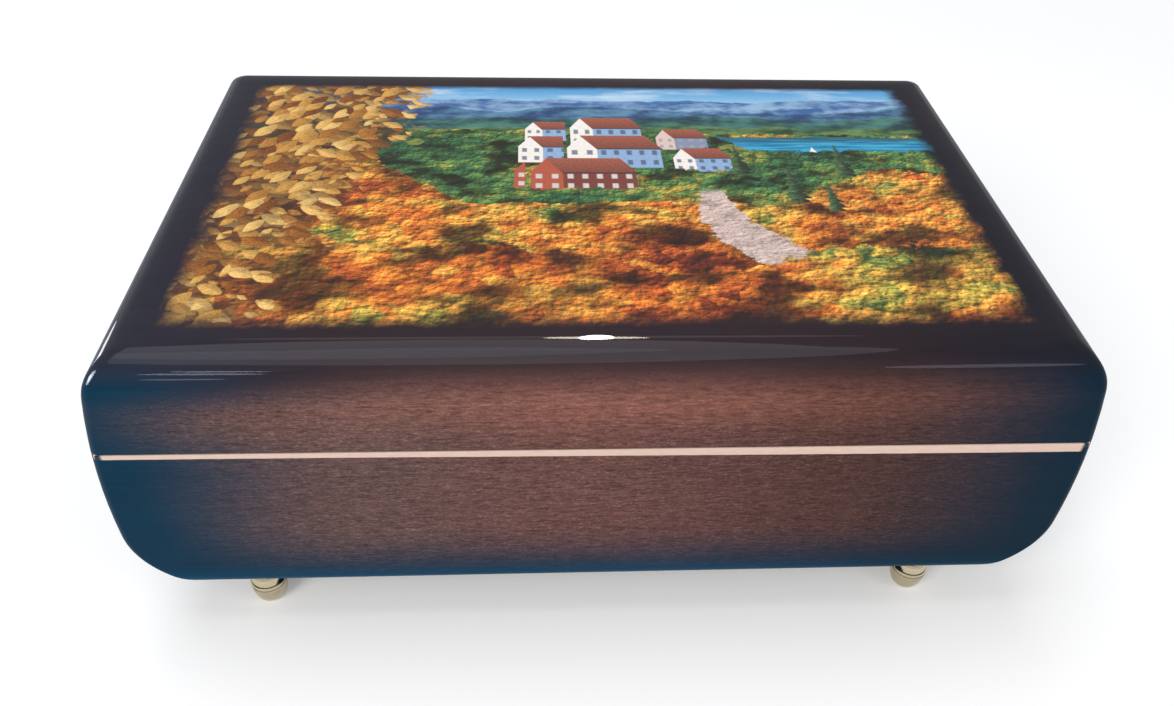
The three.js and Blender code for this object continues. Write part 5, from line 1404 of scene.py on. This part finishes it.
class MUSICBOX_OT_case(bpy.types.Operator):
    """Build the wooden base with its pale rim"""

    bl_idname = "music_box.case"
    bl_label = "Base and Rim"

    def execute(self, context):
        make_base()
        make_rim()
        return {"FINISHED"}


class MUSICBOX_OT_lid(bpy.types.Operator):
    """Build the lid with its printed picture"""

    bl_idname = "music_box.lid"
    bl_label = "Lid"

    def execute(self, context):
        make_lid()
        return {"FINISHED"}


class MUSICBOX_OT_feet(bpy.types.Operator):
    """Turn the four brass feet"""

    bl_idname = "music_box.feet"
    bl_label = "Feet"

    def execute(self, context):
        make_feet()
        return {"FINISHED"}


class MUSICBOX_OT_compartments(bpy.types.Operator):
    """Fit the board, the partition, the cover, the tray and the velvet pads"""

    bl_idname = "music_box.compartments"
    bl_label = "Compartments"

    def execute(self, context):
        make_compartments()
        return {"FINISHED"}


class MUSICBOX_OT_hinges(bpy.types.Operator):
    """Fit both brass hinges with their slotted screws"""

    bl_idname = "music_box.hinges"
    bl_label = "Hinges"

    def execute(self, context):
        make_hinges()
        return {"FINISHED"}


class MUSICBOX_OT_movement(bpy.types.Operator):
    """Build the cylinder movement"""

    bl_idname = "music_box.movement"
    bl_label = "Movement"

    def execute(self, context):
        make_movement()
        return {"FINISHED"}


class MUSICBOX_OT_winding(bpy.types.Operator):
    """Build the winding key, its arbor and the stop rod"""

    bl_idname = "music_box.winding"
    bl_label = "Winding and Stop"

    def execute(self, context):
        make_winding()
        return {"FINISHED"}


class MUSICBOX_OT_stage(bpy.types.Operator):
    """Set the floor, the lights and the camera"""

    bl_idname = "music_box.stage"
    bl_label = "Stage"

    def execute(self, context):
        settings = context.scene.music_box_stage
        make_camera(settings)
        make_floor(settings)
        make_world()
        make_lights()
        context.scene.view_settings.view_transform = "Standard"
        return {"FINISHED"}


class MUSICBOX_PT_panel(bpy.types.Panel):
    """Lists the pieces of the music box"""

    bl_idname = "MUSICBOX_PT_panel"
    bl_label = "Music Box"
    bl_space_type = "VIEW_3D"
    bl_region_type = "UI"
    bl_category = "Music Box"

    def draw(self, context):
        for step in STEPS:
            self.layout.operator(step.bl_idname)
        for group in ("music_box_sizes", "music_box_colours", "music_box_stage"):
            column = self.layout.column()
            for name in getattr(context.scene, group).bl_rna.properties.keys():
                if name not in ("rna_type", "name"):
                    column.prop(getattr(context.scene, group), name)


GROUPS = {
    "music_box_sizes": CaseSizes,
    "music_box_colours": CaseColours,
    "music_box_stage": StageSettings,
}
STEPS = [
    MUSICBOX_OT_finishes, MUSICBOX_OT_case, MUSICBOX_OT_lid, MUSICBOX_OT_feet,
    MUSICBOX_OT_compartments, MUSICBOX_OT_hinges, MUSICBOX_OT_movement, MUSICBOX_OT_winding,
    MUSICBOX_OT_stage,
]


def register():
    for group in GROUPS.values():
        bpy.utils.register_class(group)
    for name, group in GROUPS.items():
        setattr(bpy.types.Scene, name, PointerProperty(type=group))
    for step in [*STEPS, MUSICBOX_PT_panel]:
        bpy.utils.register_class(step)


def unregister():
    for step in reversed([*STEPS, MUSICBOX_PT_panel]):
        bpy.utils.unregister_class(step)
    for name, group in GROUPS.items():
        delattr(bpy.types.Scene, name)
        bpy.utils.unregister_class(group)


def main():
    register()
    for step in STEPS:
        group, name = step.bl_idname.split(".")
        getattr(getattr(bpy.ops, group), name)()


if __name__ == "__main__":
    main()
